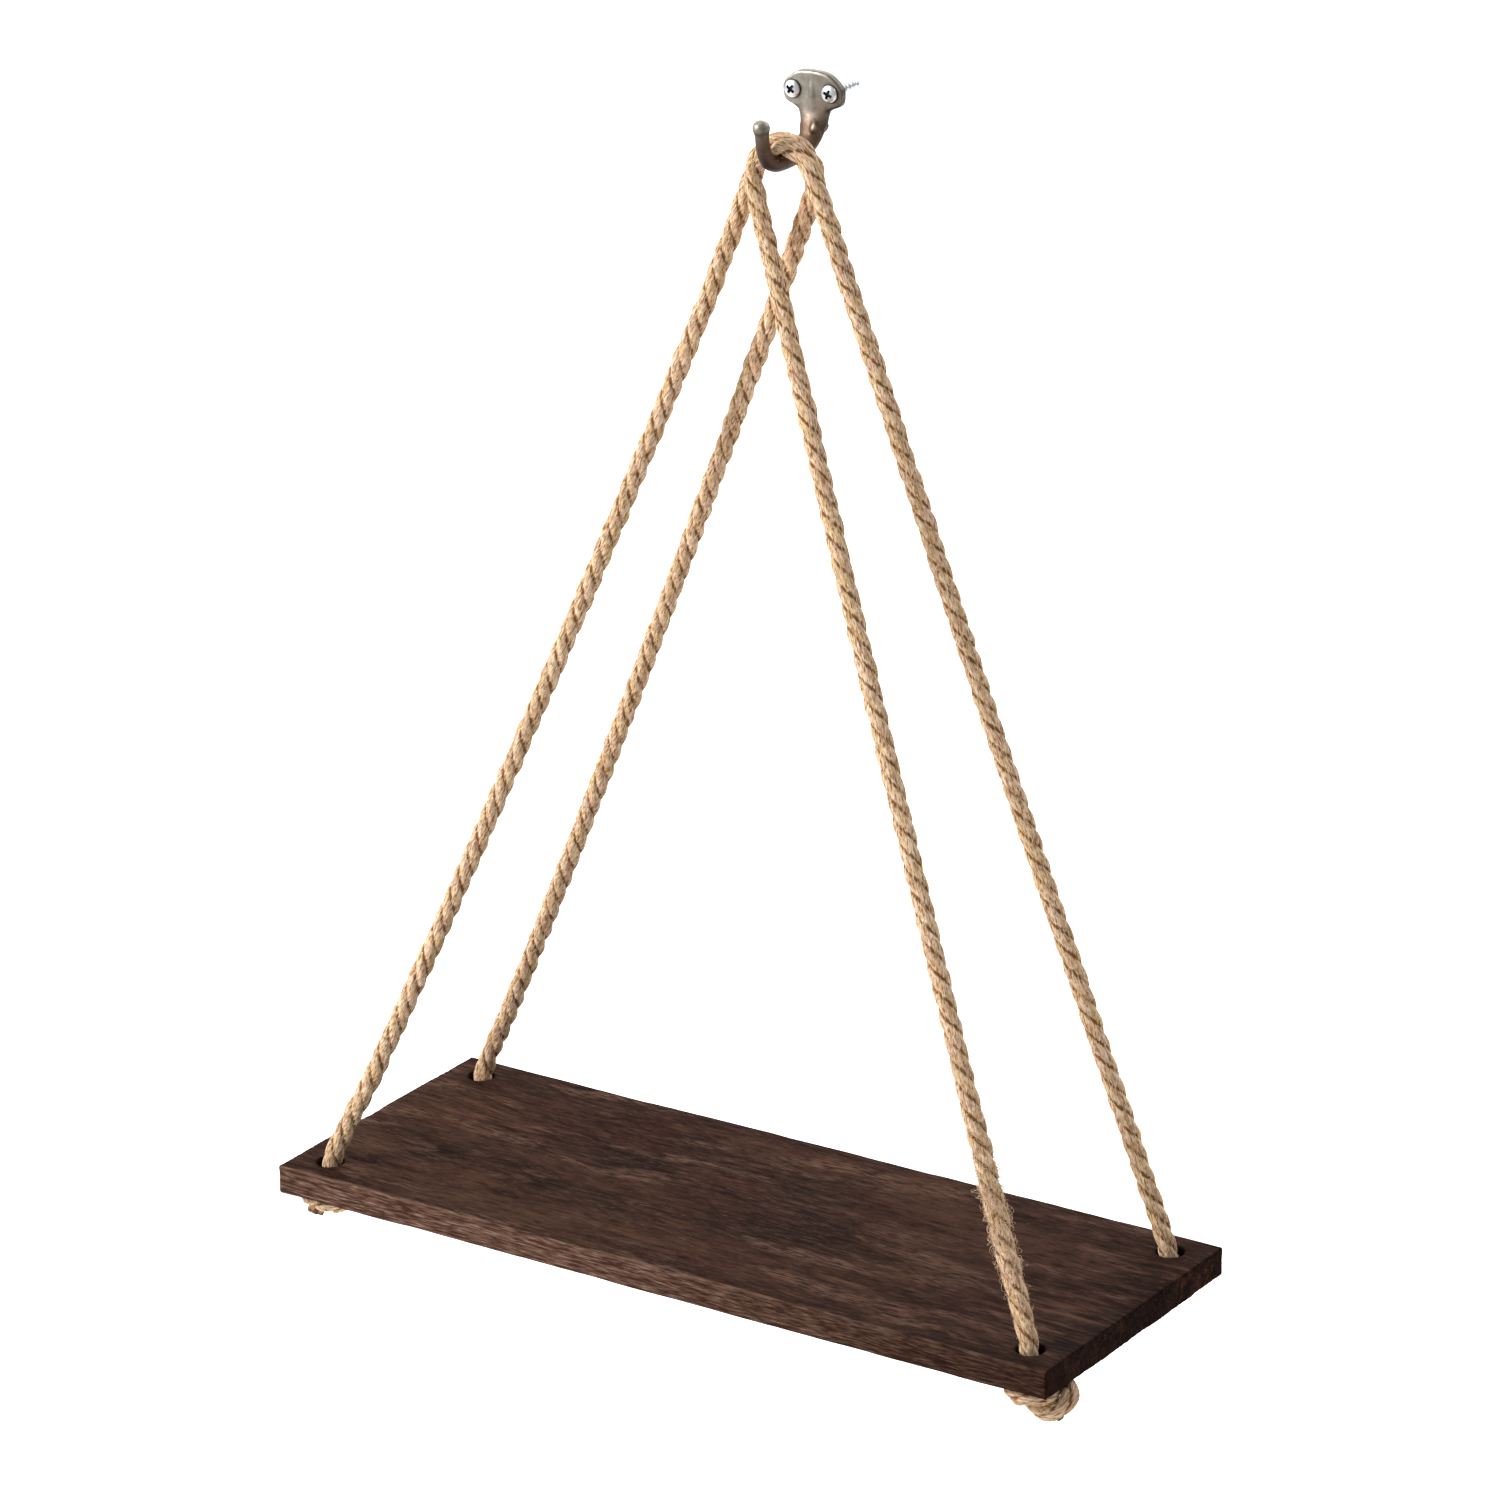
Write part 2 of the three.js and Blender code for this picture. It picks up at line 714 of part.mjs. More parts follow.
function shelf() {
  const whole = new THREE.Group();
  whole.add(piece("wall_hook", hookGeometry(), agedPewter));
  whole.add(piece("left_hook_screw", screwGeometry(-1), brightSteel));
  whole.add(piece("right_hook_screw", screwGeometry(1), brightSteel));
  whole.add(piece("shelf_board", boardGeometry(), walnutStain));
  for (const { word, ...route } of ropes) {
    const line = ropeCentreLine(route);
    console.log(`${word} rope: ${line.getLength().toFixed(0)} mm from tail to tail`);
    whole.add(piece(`${word}_rope_loop`, loopGeometry(line), juteRope));
    for (const [place, tail] of [["front", 0], ["back", 1]]) {
      whole.add(piece(`${place}_${word}_rope`, hangingGeometry(line, tail), juteRope));
      const knotName = `${place}_${word}_knot`;
      whole.add(piece(knotName, knotGeometry(knotName, line, tail), juteRope));
    }
  }
  return whole;
}

export default shelf();
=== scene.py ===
from math import asin, atan2, copysign, cos, hypot, pi, radians, sin

import bpy
import bmesh
from mathutils import Matrix, Vector


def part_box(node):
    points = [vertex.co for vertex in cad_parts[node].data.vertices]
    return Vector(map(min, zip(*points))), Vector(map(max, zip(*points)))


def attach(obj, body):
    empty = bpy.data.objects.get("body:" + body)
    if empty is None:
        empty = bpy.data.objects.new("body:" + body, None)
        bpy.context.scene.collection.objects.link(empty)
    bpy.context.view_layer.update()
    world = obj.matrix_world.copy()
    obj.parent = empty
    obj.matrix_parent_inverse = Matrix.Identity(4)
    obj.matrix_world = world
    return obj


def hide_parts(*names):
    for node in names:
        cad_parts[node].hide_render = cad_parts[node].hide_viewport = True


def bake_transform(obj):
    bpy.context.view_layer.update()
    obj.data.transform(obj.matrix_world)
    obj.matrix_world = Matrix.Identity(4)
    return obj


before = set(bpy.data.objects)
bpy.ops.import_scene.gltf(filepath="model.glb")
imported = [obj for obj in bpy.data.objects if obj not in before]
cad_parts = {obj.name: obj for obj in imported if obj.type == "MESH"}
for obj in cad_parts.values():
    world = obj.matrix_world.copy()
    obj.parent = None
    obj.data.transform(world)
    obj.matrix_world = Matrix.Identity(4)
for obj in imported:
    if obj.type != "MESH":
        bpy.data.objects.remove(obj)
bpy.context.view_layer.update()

# A hanging rope shelf: a dark board on two jute ropes that loop over one cast wall hook.
# Metres. +X runs to the right along the wall, +Y into the wall, +Z up.

# Board and its holes
BOARD_LOW, BOARD_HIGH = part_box("shelf_board")
BOARD_TOP = BOARD_HIGH.z
BOARD_UNDERSIDE = BOARD_LOW.z
BOARD_THICKNESS = BOARD_TOP - BOARD_UNDERSIDE
BOARD_MIDDLE_Y = (BOARD_LOW.y + BOARD_HIGH.y) / 2
BOARD_EDGE_ROUND = 0.0012
HOLE_FROM_END = 0.0185
HOLE_FROM_SIDE = 0.017
HOLE_RADIUS = 0.0065
HOLE_FLARE = 0.0013

# Ropes
ROPE_DIAMETER = 0.0086
ROPE_RADIUS = ROPE_DIAMETER / 2
KNOT_ROPE_DIAMETER = 0.0074
KNOT_TURN_GAP = 0.00065
KNOT_SEAT_GAP = 0.0003
LEG_SAG = 0.0026
LOOP_OPENING = 0.022
LOOP_RADIUS = LOOP_OPENING / 2 + ROPE_RADIUS
LAY_LENGTH = 0.033
STRANDS = 3

# Hook and screws
ARM_RADIUS = 0.0035
ARM_GAP = 0.0003
SEAT_SPACING = ARM_RADIUS + ARM_GAP + ROPE_RADIUS
SCREW_SPACING = 0.02
SCREW_HEAD_RADIUS = 0.004
SCREW_HEAD_HEIGHT = 0.0021
SCREW_SHANK_RADIUS = 0.0019
SCREW_LENGTH = 0.025
HEAD_SEAT_Y = -0.0048

# Studio
FLOOR_HEIGHT = -1.45
FLOOR_REACH = 12
SHELF_MIDDLE = (0, -0.06, -0.3)


# Helpers

def hump(value, middle, reach):
    """1 at the middle, falling smoothly to 0 at the reach on either side."""
    return max(0, 1 - ((value - middle) / reach) ** 2) ** 2


def clamp(value, low=0, high=1):
    return min(max(value, low), high)


def new_object(name, data):
    made = bpy.data.objects.new(name, data)
    bpy.context.scene.collection.objects.link(made)
    return made


def closed_mesh(bm, name):
    """A mesh of the closed surface in bm, facing outward. It frees bm."""
    bmesh.ops.recalc_face_normals(bm, faces=bm.faces)
    mesh = bpy.data.meshes.new(name)
    bm.to_mesh(mesh)
    bm.free()
    return mesh


# Camera: the photograph's place and angle, framed on one of its shelves

def studio_camera():
    azimuth = radians(34.6)
    elevation = radians(19.4)
    roll = radians(-1.22)
    distance = 3.03
    looked_at = Vector((0, -0.078, -0.2208))
    aside = Vector((-0.001948, 0.013667))
    focal_px = 4145
    middle_px = Vector((327, 366))
    frame_centre_px = Vector((337, 440))
    frame_width_px = 930
    back = Vector((
        sin(azimuth) * cos(elevation),
        -cos(azimuth) * cos(elevation),
        sin(elevation),
    ))
    level = Vector((cos(azimuth), sin(azimuth), 0))
    upright = back.cross(level)
    right = level * cos(roll) + upright * sin(roll)
    up = upright * cos(roll) - level * sin(roll)
    place = looked_at + back * distance - right * aside.x - up * aside.y
    offset = (frame_centre_px - middle_px) / focal_px
    view = (right * offset.x - up * offset.y - back).normalized()
    right = view.cross(up).normalized()
    up = right.cross(view)
    data = bpy.data.cameras.new("camera")
    data.sensor_width = 36
    data.lens = focal_px * data.sensor_width / frame_width_px
    data.clip_end = 50
    camera = new_object("camera", data)
    turned = Matrix((right, up, -view)).transposed().to_4x4()
    camera.matrix_world = Matrix.Translation(place) @ turned
    bpy.context.scene.camera = camera


# Node trees

def is_socket(value):
    return isinstance(value, bpy.types.NodeSocket)


def feed(node, inputs):
    """Sets a node's inputs, given by name or by number, to values or to the sockets that feed them."""
    for name, value in inputs.items():
        live = [s for s in node.inputs if s.enabled]
        socket = live[name] if isinstance(name, int) else next(s for s in live if s.name == name)
        if is_socket(value):
            node.id_data.links.new(value, socket)
        else:
            socket.default_value = value


def add(kind, inputs=None, tree=None, **settings):
    """Adds a node to a tree: the one given, or else the one that the sockets in its inputs belong to."""
    inputs = inputs or {}
    tree = tree or next(value.id_data for value in inputs.values() if is_socket(value))
    node = tree.nodes.new(kind)
    for name, value in settings.items():
        setattr(node, name, value)
    feed(node, inputs)
    return node


def value_of(kind, inputs=None, output=0, **settings):
    """A new node's first live output, or the one of that name."""
    node = add(kind, inputs, **settings)
    live = [s for s in node.outputs if s.enabled]
    return live[0] if output == 0 else next(s for s in live if s.name == output)


def calc(operation, first, *others):
    """A Math operation on one value, or on a value and each of the others in turn."""
    if not others:
        return value_of("ShaderNodeMath", {0: first}, operation=operation)
    for other in others:
        first = value_of("ShaderNodeMath", {0: first, 1: other}, operation=operation)
    return first


def times(*factors):
    return calc("MULTIPLY", *factors)


def length_of(across, up):
    """The length of a step that goes this far across and this far up."""
    return calc("SQRT", calc("ADD", times(across, across), times(up, up)))


def vector(x=0.0, y=0.0, z=0.0):
    return value_of("ShaderNodeCombineXYZ", {"X": x, "Y": y, "Z": z})


def parts(place):
    """The X, Y and Z of a vector."""
    return add("ShaderNodeSeparateXYZ", {"Vector": place}).outputs


def vector_calc(operation, first, second):
    return value_of("ShaderNodeVectorMath", {0: first, 1: second}, operation=operation)


def noise(place, scale, detail, output="Fac", **more):
    """A noise texture's value, or its colour. more sets other inputs, such as Roughness."""
    inputs = {"Vector": place, "Scale": scale, "Detail": detail, **more}
    return value_of("ShaderNodeTexNoise", inputs, output)


def new_tree(name, kind, inputs, output):
    """A node group, its inputs as sockets to read, and its output node."""
    tree = bpy.data.node_groups.new(name, kind)
    for title, content, default in inputs:
        socket = tree.interface.new_socket(title, in_out="INPUT", socket_type="NodeSocket" + content)
        if default is not None:
            socket.default_value = default
    title, content = output
    tree.interface.new_socket(title, in_out="OUTPUT", socket_type="NodeSocket" + content)
    return tree, tree.nodes.new("NodeGroupInput").outputs, tree.nodes.new("NodeGroupOutput")


def store(geometry, name, value, data_type="FLOAT"):
    """Keeps a value at every point of a geometry, under a name."""
    return value_of("GeometryNodeStoreNamedAttribute", {
        "Geometry": geometry, "Name": name, "Value": value,
    }, data_type=data_type, domain="POINT")


def stored(tree, name):
    return value_of("GeometryNodeInputNamedAttribute", {"Name": name}, tree=tree, data_type="FLOAT")


def pushed_out(geometry, distance):
    """Moves a surface outward by a distance that may differ from point to point."""
    normal = value_of("GeometryNodeInputNormal", output="Normal", tree=distance.id_data)
    offset = vector_calc("SCALE", normal, distance)
    return value_of("GeometryNodeSetPosition", {"Geometry": geometry, "Offset": offset})


def circle(**inputs):
    return value_of("GeometryNodeCurvePrimitiveCircle", inputs, "Curve")


def swept(line, section, **more):
    """A closed tube of this section along a line."""
    inputs = {"Curve": line, "Profile Curve": section, "Fill Caps": True, **more}
    return value_of("GeometryNodeCurveToMesh", inputs)


def realized(geometry):
    return value_of("GeometryNodeRealizeInstances", {"Geometry": geometry})


def with_material(geometry, given):
    return value_of("GeometryNodeSetMaterial", {"Geometry": geometry, "Material": given["Material"]})


def set_inputs(modifier, values):
    """Sets a Geometry Nodes modifier's inputs by their names."""
    for item in modifier.node_group.interface.items_tree:
        if item.item_type == "SOCKET" and item.in_out == "INPUT" and item.name in values:
            modifier[item.identifier] = values[item.name]


def made_by(name, mesh, tree=None, values=None, more=()):
    """An object from what a Geometry Nodes tree, if any, and then other modifiers make of a mesh."""
    source = new_object(name + "_source", mesh)
    if tree:
        modifier = source.modifiers.new("make", "NODES")
        modifier.node_group = tree
        set_inputs(modifier, values)
    for kind, settings in more:
        extra = source.modifiers.new(kind.lower(), kind)
        for key, value in settings.items():
            setattr(extra, key, value)
    bpy.context.view_layer.update()
    evaluated = source.evaluated_get(bpy.context.evaluated_depsgraph_get())
    result = bpy.data.meshes.new_from_object(evaluated)
    result.name = name
    piece = new_object(name, result)
    bpy.data.objects.remove(source)
    return piece


# Routes of the ropes

def smooth_line(points, step):
    """Points at even steps along the centripetal curve through the given points."""
    fine = []
    fine_steps = 12
    for i in range(len(points) - 1):
        b, c = points[i], points[i + 1]
        a = points[i - 1] if i else b * 2 - c
        d = points[i + 2] if i + 2 < len(points) else c * 2 - b
        ab, bc, cd = (b - a).length ** 0.5, (c - b).length ** 0.5, (d - c).length ** 0.5
        leave = ((b - a) / ab - (c - a) / (ab + bc) + (c - b) / bc) * bc
        arrive = ((c - b) / bc - (d - b) / (bc + cd) + (d - c) / cd) * bc
        for k in range(fine_steps):
            t = k / fine_steps
            fine.append(
                b * (2 * t**3 - 3 * t**2 + 1) + leave * (t**3 - 2 * t**2 + t)
                + c * (3 * t**2 - 2 * t**3) + arrive * (t**3 - t**2)
            )
    fine.append(points[-1].copy())
    total = sum((q - p).length for p, q in zip(fine, fine[1:]))
    count = round(total / step)
    spaced = [fine[0].copy()]
    walked = 0.0
    for p, q in zip(fine, fine[1:]):
        length = (q - p).length
        while len(spaced) < count and walked + length >= total * len(spaced) / count:
            spaced.append(p.lerp(q, (total * len(spaced) / count - walked) / length))
        walked += length
    spaced.append(fine[-1].copy())
    return spaced, total


def hole_centre(side, row):
    x = side * (BOARD_HIGH.x - HOLE_FROM_END)
    y = (BOARD_LOW.y + HOLE_FROM_SIDE) if row < 0 else (BOARD_HIGH.y - HOLE_FROM_SIDE)
    return Vector((x, y, 0))


def towards_hook(hole, centre):
    return Vector((-hole.x, centre.y - hole.y, 0)).normalized()


MOUTH_INSET = ROPE_DIAMETER * 0.17
MOUTH_HEIGHT = BOARD_TOP + ROPE_DIAMETER * 0.2
LEG_STEPS = 12
LOOP_STEPS = 10
SQUARE_SHARE = 0.02

# Each rope's side, and its loop: how far out on the arm it hangs, how high, and how far it leans aside. The
# seed is for its loose fibres. Each stretch has a sideways bow, a turn for its knot, and a number of points
# in its knot's tail.
ROPES = {
    "left": {
        "side": -1, "out": 0.023875, "seat": -0.019582, "lean": -0.135, "seed": 47,
        "front": {"bow": 0.0026, "turn": 2.9, "tail": 1}, "back": {"bow": 0.0013, "turn": 5.8, "tail": 3},
    },
    "right": {
        "side": 1, "out": 0.033075, "seat": -0.01909, "lean": 0.55, "seed": 11,
        "front": {"bow": 0.0, "turn": 0.6, "tail": 3}, "back": {"bow": 0.0017, "turn": 4.2, "tail": 1},
    },
}


def loop_centre(rope):
    swing = LOOP_RADIUS - SEAT_SPACING
    arm = Vector((0, -rope["out"], rope["seat"] - SEAT_SPACING))
    return arm + Vector((sin(rope["lean"]), 0, -cos(rope["lean"]))) * swing


def rope_depth(height, centre, mouth):
    """A rope's place across the wall's depth: it crosses the arm square and soon runs straight."""
    top = centre.z + LOOP_RADIUS
    fall = (top - height) / (top - mouth.z)
    share = fall * fall / (fall + SQUARE_SHARE) * (1 + SQUARE_SHARE)
    return centre.y + (mouth.y - centre.y) * share


def leg_points(hole, centre, exit_side, bow):
    """From a loop's tangent point down to the mouth of one hole, and the angle at which it leaves."""
    aside, fall = hole.x - centre.x, centre.z - BOARD_TOP
    lean = atan2(aside, fall) - asin(exit_side * LOOP_RADIUS / hypot(aside, fall))
    top = centre + Vector((cos(lean), 0, sin(lean))) * exit_side * LOOP_RADIUS
    mouth = Vector((hole.x, hole.y, MOUTH_HEIGHT)) + towards_hook(hole, centre) * MOUTH_INSET
    straight = (mouth - top).normalized()
    sagging = (Vector((0, 0, -1)) + straight * straight.z).normalized()
    points = []
    for step in range(LEG_STEPS + 1):
        share = step / LEG_STEPS
        point = top.lerp(mouth, share)
        point.y = rope_depth(point.z, centre, mouth)
        point.x += bow * (1 - (2 * share - 1) ** 4)
        points.append(point + sagging * 4 * LEG_SAG * share * (1 - share))
    return points, lean, mouth


# Down through a hole: how far the rope stands off its middle, and how deep in the board
THROUGH_SHARES = ((0.35, 0.4), (0.08, 0.85))
# The overhand knot, in shares of the space from one of its turns to the next
KNOT_SHARES = (
    (0.05, -0.22, -0.56), (0.13, -0.46, -1.04), (0.38, -0.78, -1.39), (0.82, -1.06, -1.5),
    (1.32, -1.22, -1.38), (1.79, -1.2, -1.06), (2.09, -0.92, -0.73), (2.16, -0.42, -0.54),
    (2.04, 0.1, -0.5), (1.7, 0.53, -0.5), (1.21, 0.76, -0.5), (0.7, 0.82, -0.5),
    (0.19, 0.86, -0.5), (-0.34, 0.79, -0.5), (-0.77, 0.45, -0.5), (-0.97, -0.04, -0.5),
    (-0.94, -0.58, -0.5), (-0.67, -1.06, -0.49), (-0.2, -1.35, -0.47), (0.34, -1.38, -0.45),
    (0.8, -1.1, -0.45), (1.05, -0.64, -0.54), (1.14, -0.22, -0.87), (1.2, 0.11, -1.3),
)
# The tail that hangs from a knot, which has only as many of these points as it is long
TAIL_SHARES = ((1.27, 0.36, -1.75), (1.33, 0.48, -2.2), (1.37, 0.55, -2.6))
KNOT_HIGHEST_SHARE = -0.45


def knot_points(hole, centre, stretch):
    """From the mouth of a hole down through it and round its knot to the tail."""
    spacing = KNOT_ROPE_DIAMETER + KNOT_TURN_GAP
    seat = BOARD_UNDERSIDE - KNOT_SEAT_GAP - KNOT_ROPE_DIAMETER / 2
    middle = Vector((hole.x, hole.y, seat - spacing * KNOT_HIGHEST_SHARE))
    inward = towards_hook(hole, centre) * MOUTH_INSET
    points = []
    for inset, depth in THROUGH_SHARES:
        points.append(Vector((hole.x, hole.y, BOARD_TOP - BOARD_THICKNESS * depth)) + inward * inset)
    turned = Matrix.Rotation(stretch["turn"], 3, "Z")
    for shares in KNOT_SHARES + TAIL_SHARES[:stretch["tail"]]:
        points.append(middle + turned @ (Vector(shares) * spacing))
    return points


def rope_route(rope):
    """A rope's centre line, from its tail in front over the hook to its tail at the back."""
    centre = loop_centre(rope)
    halves, leans, mouths = [], [], []
    for word, row in (("front", -1), ("back", 1)):
        hole = hole_centre(rope["side"], row)
        leg, lean, mouth = leg_points(hole, centre, row, rope[word]["bow"])
        halves.append(leg + knot_points(hole, centre, rope[word]))
        leans.append(lean)
        mouths.append(mouth)
    arc = []
    for step in range(1, LOOP_STEPS):
        angle = pi + leans[0] + (leans[1] - pi - leans[0]) * step / LOOP_STEPS
        point = centre + Vector((cos(angle), 0, sin(angle))) * LOOP_RADIUS
        point.y = rope_depth(point.z, centre, mouths[0] if angle > pi / 2 else mouths[1])
        arc.append(point)
    return halves[0][::-1] + arc + halves[1]


# Laid rope: strands twisted round the centre line, made by a tree

YARN_STRETCH = (700.0, 700.0, 150.0)
LUMP_STRETCH = (160.0, 160.0, 90.0)


def strand_outline(tree, given):
    """The outline of the strands round a rope, which knows how near a groove each of its points is."""
    index = value_of("GeometryNodeInputIndex", tree=tree)
    angle = times(calc("DIVIDE", index, given["Sides"]), 2 * pi)
    sector = calc("DIVIDE", 2 * pi, given["Strands"])
    half_sector = calc("DIVIDE", sector, 2.0)
    within = calc("SUBTRACT", calc("MODULO", angle, sector), half_sector)
    offset, strand = given["Strand Offset"], given["Strand Radius"]
    across = times(offset, calc("SINE", within))
    rest = calc("SUBTRACT", times(strand, strand), times(across, across))
    reach = calc("ADD", times(offset, calc("COSINE", within)), calc("SQRT", rest))
    radius = times(reach, given["Diameter"])
    outline = vector(times(radius, calc("COSINE", angle)), times(radius, calc("SINE", angle)))
    section = circle(Resolution=given["Sides"])
    section = value_of("GeometryNodeSetPosition", {"Geometry": section, "Position": outline})
    groove = calc("DIVIDE", calc("ABSOLUTE", within), half_sector)
    section = store(section, "rope_groove", groove)
    return store(section, "rope_angle", angle)


def rope_lift(given, space):
    """How far the surface stands out: yarns that lie along the rope, and strands of uneven thickness."""
    def lumps(stretch, detail, height):
        height_share = noise(vector_calc("MULTIPLY", space, stretch), 1.0, detail)
        return times(calc("SUBTRACT", height_share, 0.5), height)
    yarns = lumps(YARN_STRETCH, 1.0, given["Yarn Relief"])
    return calc("ADD", yarns, lumps(LUMP_STRETCH, 2.0, given["Unevenness"]))


def laid_rope_tree():
    tree, given, made = new_tree("laid_rope", "GeometryNodeTree", [
        ("Route", "Geometry", None),
        ("Diameter", "Float", ROPE_DIAMETER),
        ("Lay Length", "Float", LAY_LENGTH),
        ("Strands", "Int", STRANDS),
        ("Sides", "Int", 72),
        ("Strand Offset", "Float", 0.183),
        ("Strand Radius", "Float", 0.362),
        ("Yarn Relief", "Float", 0.0011),
        ("Unevenness", "Float", 0.0015),
        ("Material", "Material", None),
    ], ("Rope", "Geometry"))
    line = value_of("GeometryNodeMeshToCurve", {"Mesh": given["Route"]})
    along = value_of("GeometryNodeSplineParameter", output="Length", tree=tree)
    turn = times(calc("DIVIDE", along, given["Lay Length"]), -2 * pi)
    line = value_of("GeometryNodeSetCurveTilt", {"Curve": line, "Tilt": turn})
    line = store(line, "rope_along", along)
    line = store(line, "rope_turn", turn)
    rope = swept(line, strand_outline(tree, given), Scale=stored(tree, "slimness"))

    # a space that runs straight along the rope, for fibres that lie along it whatever the strands do
    untwisted = calc("ADD", stored(tree, "rope_angle"), stored(tree, "rope_turn"))
    across, up = (times(calc(part, untwisted), ROPE_RADIUS) for part in ("COSINE", "SINE"))
    space = vector(across, up, stored(tree, "rope_along"))
    rope = store(rope, "rope_space", space, "FLOAT_VECTOR")
    rope = pushed_out(rope, rope_lift(given, space))
    rope = value_of("GeometryNodeSetShadeSmooth", {"Geometry": rope, "Shade Smooth": True})
    feed(made, {0: with_material(realized(rope), given)})
    return tree


# A loose fibre's bend, as places across and up in shares of its length
FIBRE_BEND = {
    "Start": (0.0, -0.03), "Start Handle": (0.02, 0.45), "End Handle": (0.75, 0.85), "End": (0.8, 0.15),
}
FIBRE_TAPER = 0.7


def bent_fibre(tree, given):
    """One loose fibre, thinner toward its tip."""
    length, width = given["Fibre Length"], given["Fibre Width"]
    inputs = {"Resolution": 5}
    for name, (across, up) in FIBRE_BEND.items():
        inputs[name] = vector(x=times(length, across), z=times(length, up))
    bend = value_of("GeometryNodeCurvePrimitiveBezierSegment", inputs, mode="POSITION")
    along = value_of("GeometryNodeSplineParameter", output="Factor", tree=tree)
    taper = calc("SUBTRACT", 1.0, times(along, FIBRE_TAPER))
    return swept(bend, circle(Resolution=3, Radius=times(width, 0.5)), Scale=taper)


def loose_fibre_tree():
    """Short bent fibres that stand out of a rope's surface."""
    tree, given, made = new_tree("loose_fibres", "GeometryNodeTree", [
        ("Rope", "Geometry", None),
        ("Density", "Float", 110000.0),
        ("Fibre Length", "Float", 0.0021),
        ("Fibre Width", "Float", 0.00009),
        ("Least Share", "Float", 0.35),
        ("Seed", "Int", 1),
        ("Material", "Material", None),
    ], ("Fibres", "Geometry"))

    def random(low, high, step):
        inputs = {"Min": low, "Max": high, "Seed": calc("ADD", given["Seed"], step)}
        return value_of("FunctionNodeRandomValue", inputs, data_type="FLOAT")
    looseness = stored(tree, "looseness")
    spread = add("GeometryNodeDistributePointsOnFaces", {
        "Mesh": given["Rope"], "Density": times(looseness, given["Density"]), "Seed": given["Seed"],
    }).outputs
    own_turn = value_of("FunctionNodeEulerToRotation", {
        "Euler": vector(random(-0.8, 0.8, 1), random(0.2, 1.1, 2), random(0.0, 2 * pi, 3)),
    })
    turned = value_of("FunctionNodeRotateRotation", {
        "Rotation": spread["Rotation"], "Rotate By": own_turn,
    }, rotation_space="LOCAL")
    fibres = value_of("GeometryNodeInstanceOnPoints", {
        "Points": spread["Points"], "Instance": bent_fibre(tree, given), "Rotation": turned,
        "Scale": times(looseness, random(given["Least Share"], 1.0, 4)),
    })
    feed(made, {0: with_material(realized(fibres), given)})
    return tree


ROPE_STEP = 0.0015
# Above the front right hole the rope is fuller and hairier, as in the photograph
LOOSEST_ABOVE_BOARD = 0.058
LOOSE_REACH = 0.075
LOOSE_SWELL = 0.06
MOST_LOOSE = 2.8
# How much the rope spreads where it is pressed onto the hook, and how far below its top
PRESSED_SWELL = 0.1
PRESSED_REACH = 0.012


def route_mesh(name, points, loose_end):
    """The route as a chain of edges, which keeps how slim and how loose the rope is at each point."""
    mesh = bpy.data.meshes.new(name)
    mesh.from_pydata(points, [(i, i + 1) for i in range(len(points) - 1)], [])
    slim_share = (KNOT_ROPE_DIAMETER + KNOT_TURN_GAP) / ROPE_DIAMETER
    highest = max(point.z for point in points)
    values = {"slimness": [], "looseness": [], "to_end": []}
    for i, point in enumerate(points):
        above = point.z - BOARD_TOP
        squeeze = clamp(-above / BOARD_THICKNESS)
        at_loose_end = loose_end and i < len(points) / 2 and above > 0
        loose = hump(above, LOOSEST_ABOVE_BOARD, LOOSE_REACH) if at_loose_end else 0
        pressed = max(0, 1 - (highest - point.z) / PRESSED_REACH)
        swell = LOOSE_SWELL * loose + PRESSED_SWELL * pressed
        values["slimness"].append(1 + (slim_share - 1) * squeeze + swell)
        values["looseness"].append((1 + MOST_LOOSE * loose) * (1 - pressed))
        values["to_end"].append(min(i, len(points) - 1 - i) * ROPE_STEP)
    for key, numbers in values.items():
        mesh.attributes.new(key, "FLOAT", "POINT").data.foreach_set("value", numbers)
    return mesh


def make_rope(word, rope_tree, fibre_tree, finishes):
    side, seed = ROPES[word]["side"], ROPES[word]["seed"]
    points, length = smooth_line(rope_route(ROPES[word]), ROPE_STEP)
    route = route_mesh(f"{word}_route", points, side > 0)
    rope = made_by(f"{word}_rope", route, rope_tree, {"Material": finishes["jute"]})
    fibres = made_by(f"{word}_rope_fibres", rope.data.copy(), fibre_tree, {
        "Seed": seed, "Material": finishes["loose_jute"],
    })
    for piece in (rope, fibres):
        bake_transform(piece)
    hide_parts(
        f"{word}_rope_loop", f"front_{word}_rope", f"back_{word}_rope",
        f"front_{word}_knot", f"back_{word}_knot",
    )
    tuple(points[0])


# Helpers for the materials

def ramp(value, stops):
    """A colour ramp from (place, colour) stops; a colour may be one number for a grey."""
    node = add("ShaderNodeValToRGB", {"Fac": value})
    elements = node.color_ramp.elements
    while len(elements) < len(stops):
        elements.new(0.5)
    for element, (place, colour) in zip(elements, stops):
        element.position = place
        grey = isinstance(colour, (int, float))
        element.color = (colour, colour, colour, 1) if grey else (*colour, 1)
    return node.outputs["Color"]


def band(value, low, high, **settings):
    """Rises from 0 at low to 1 at high. low may be the larger of the two."""
    return value_of("ShaderNodeMapRange", {"Value": value, "From Min": low, "From Max": high}, **settings)


def mix(factor, first, second, blend="MIX"):
    """Mixes two colours, each a socket or three numbers."""
    first, second = (colour if is_socket(colour) else (*colour, 1) for colour in (first, second))
    inputs = {"Factor": factor, "A": first, "B": second}
    return value_of("ShaderNodeMix", inputs, data_type="RGBA", blend_type=blend)


def tinted(tone, colour, factor=1.0):
    return mix(factor, tone, colour, "MULTIPLY")


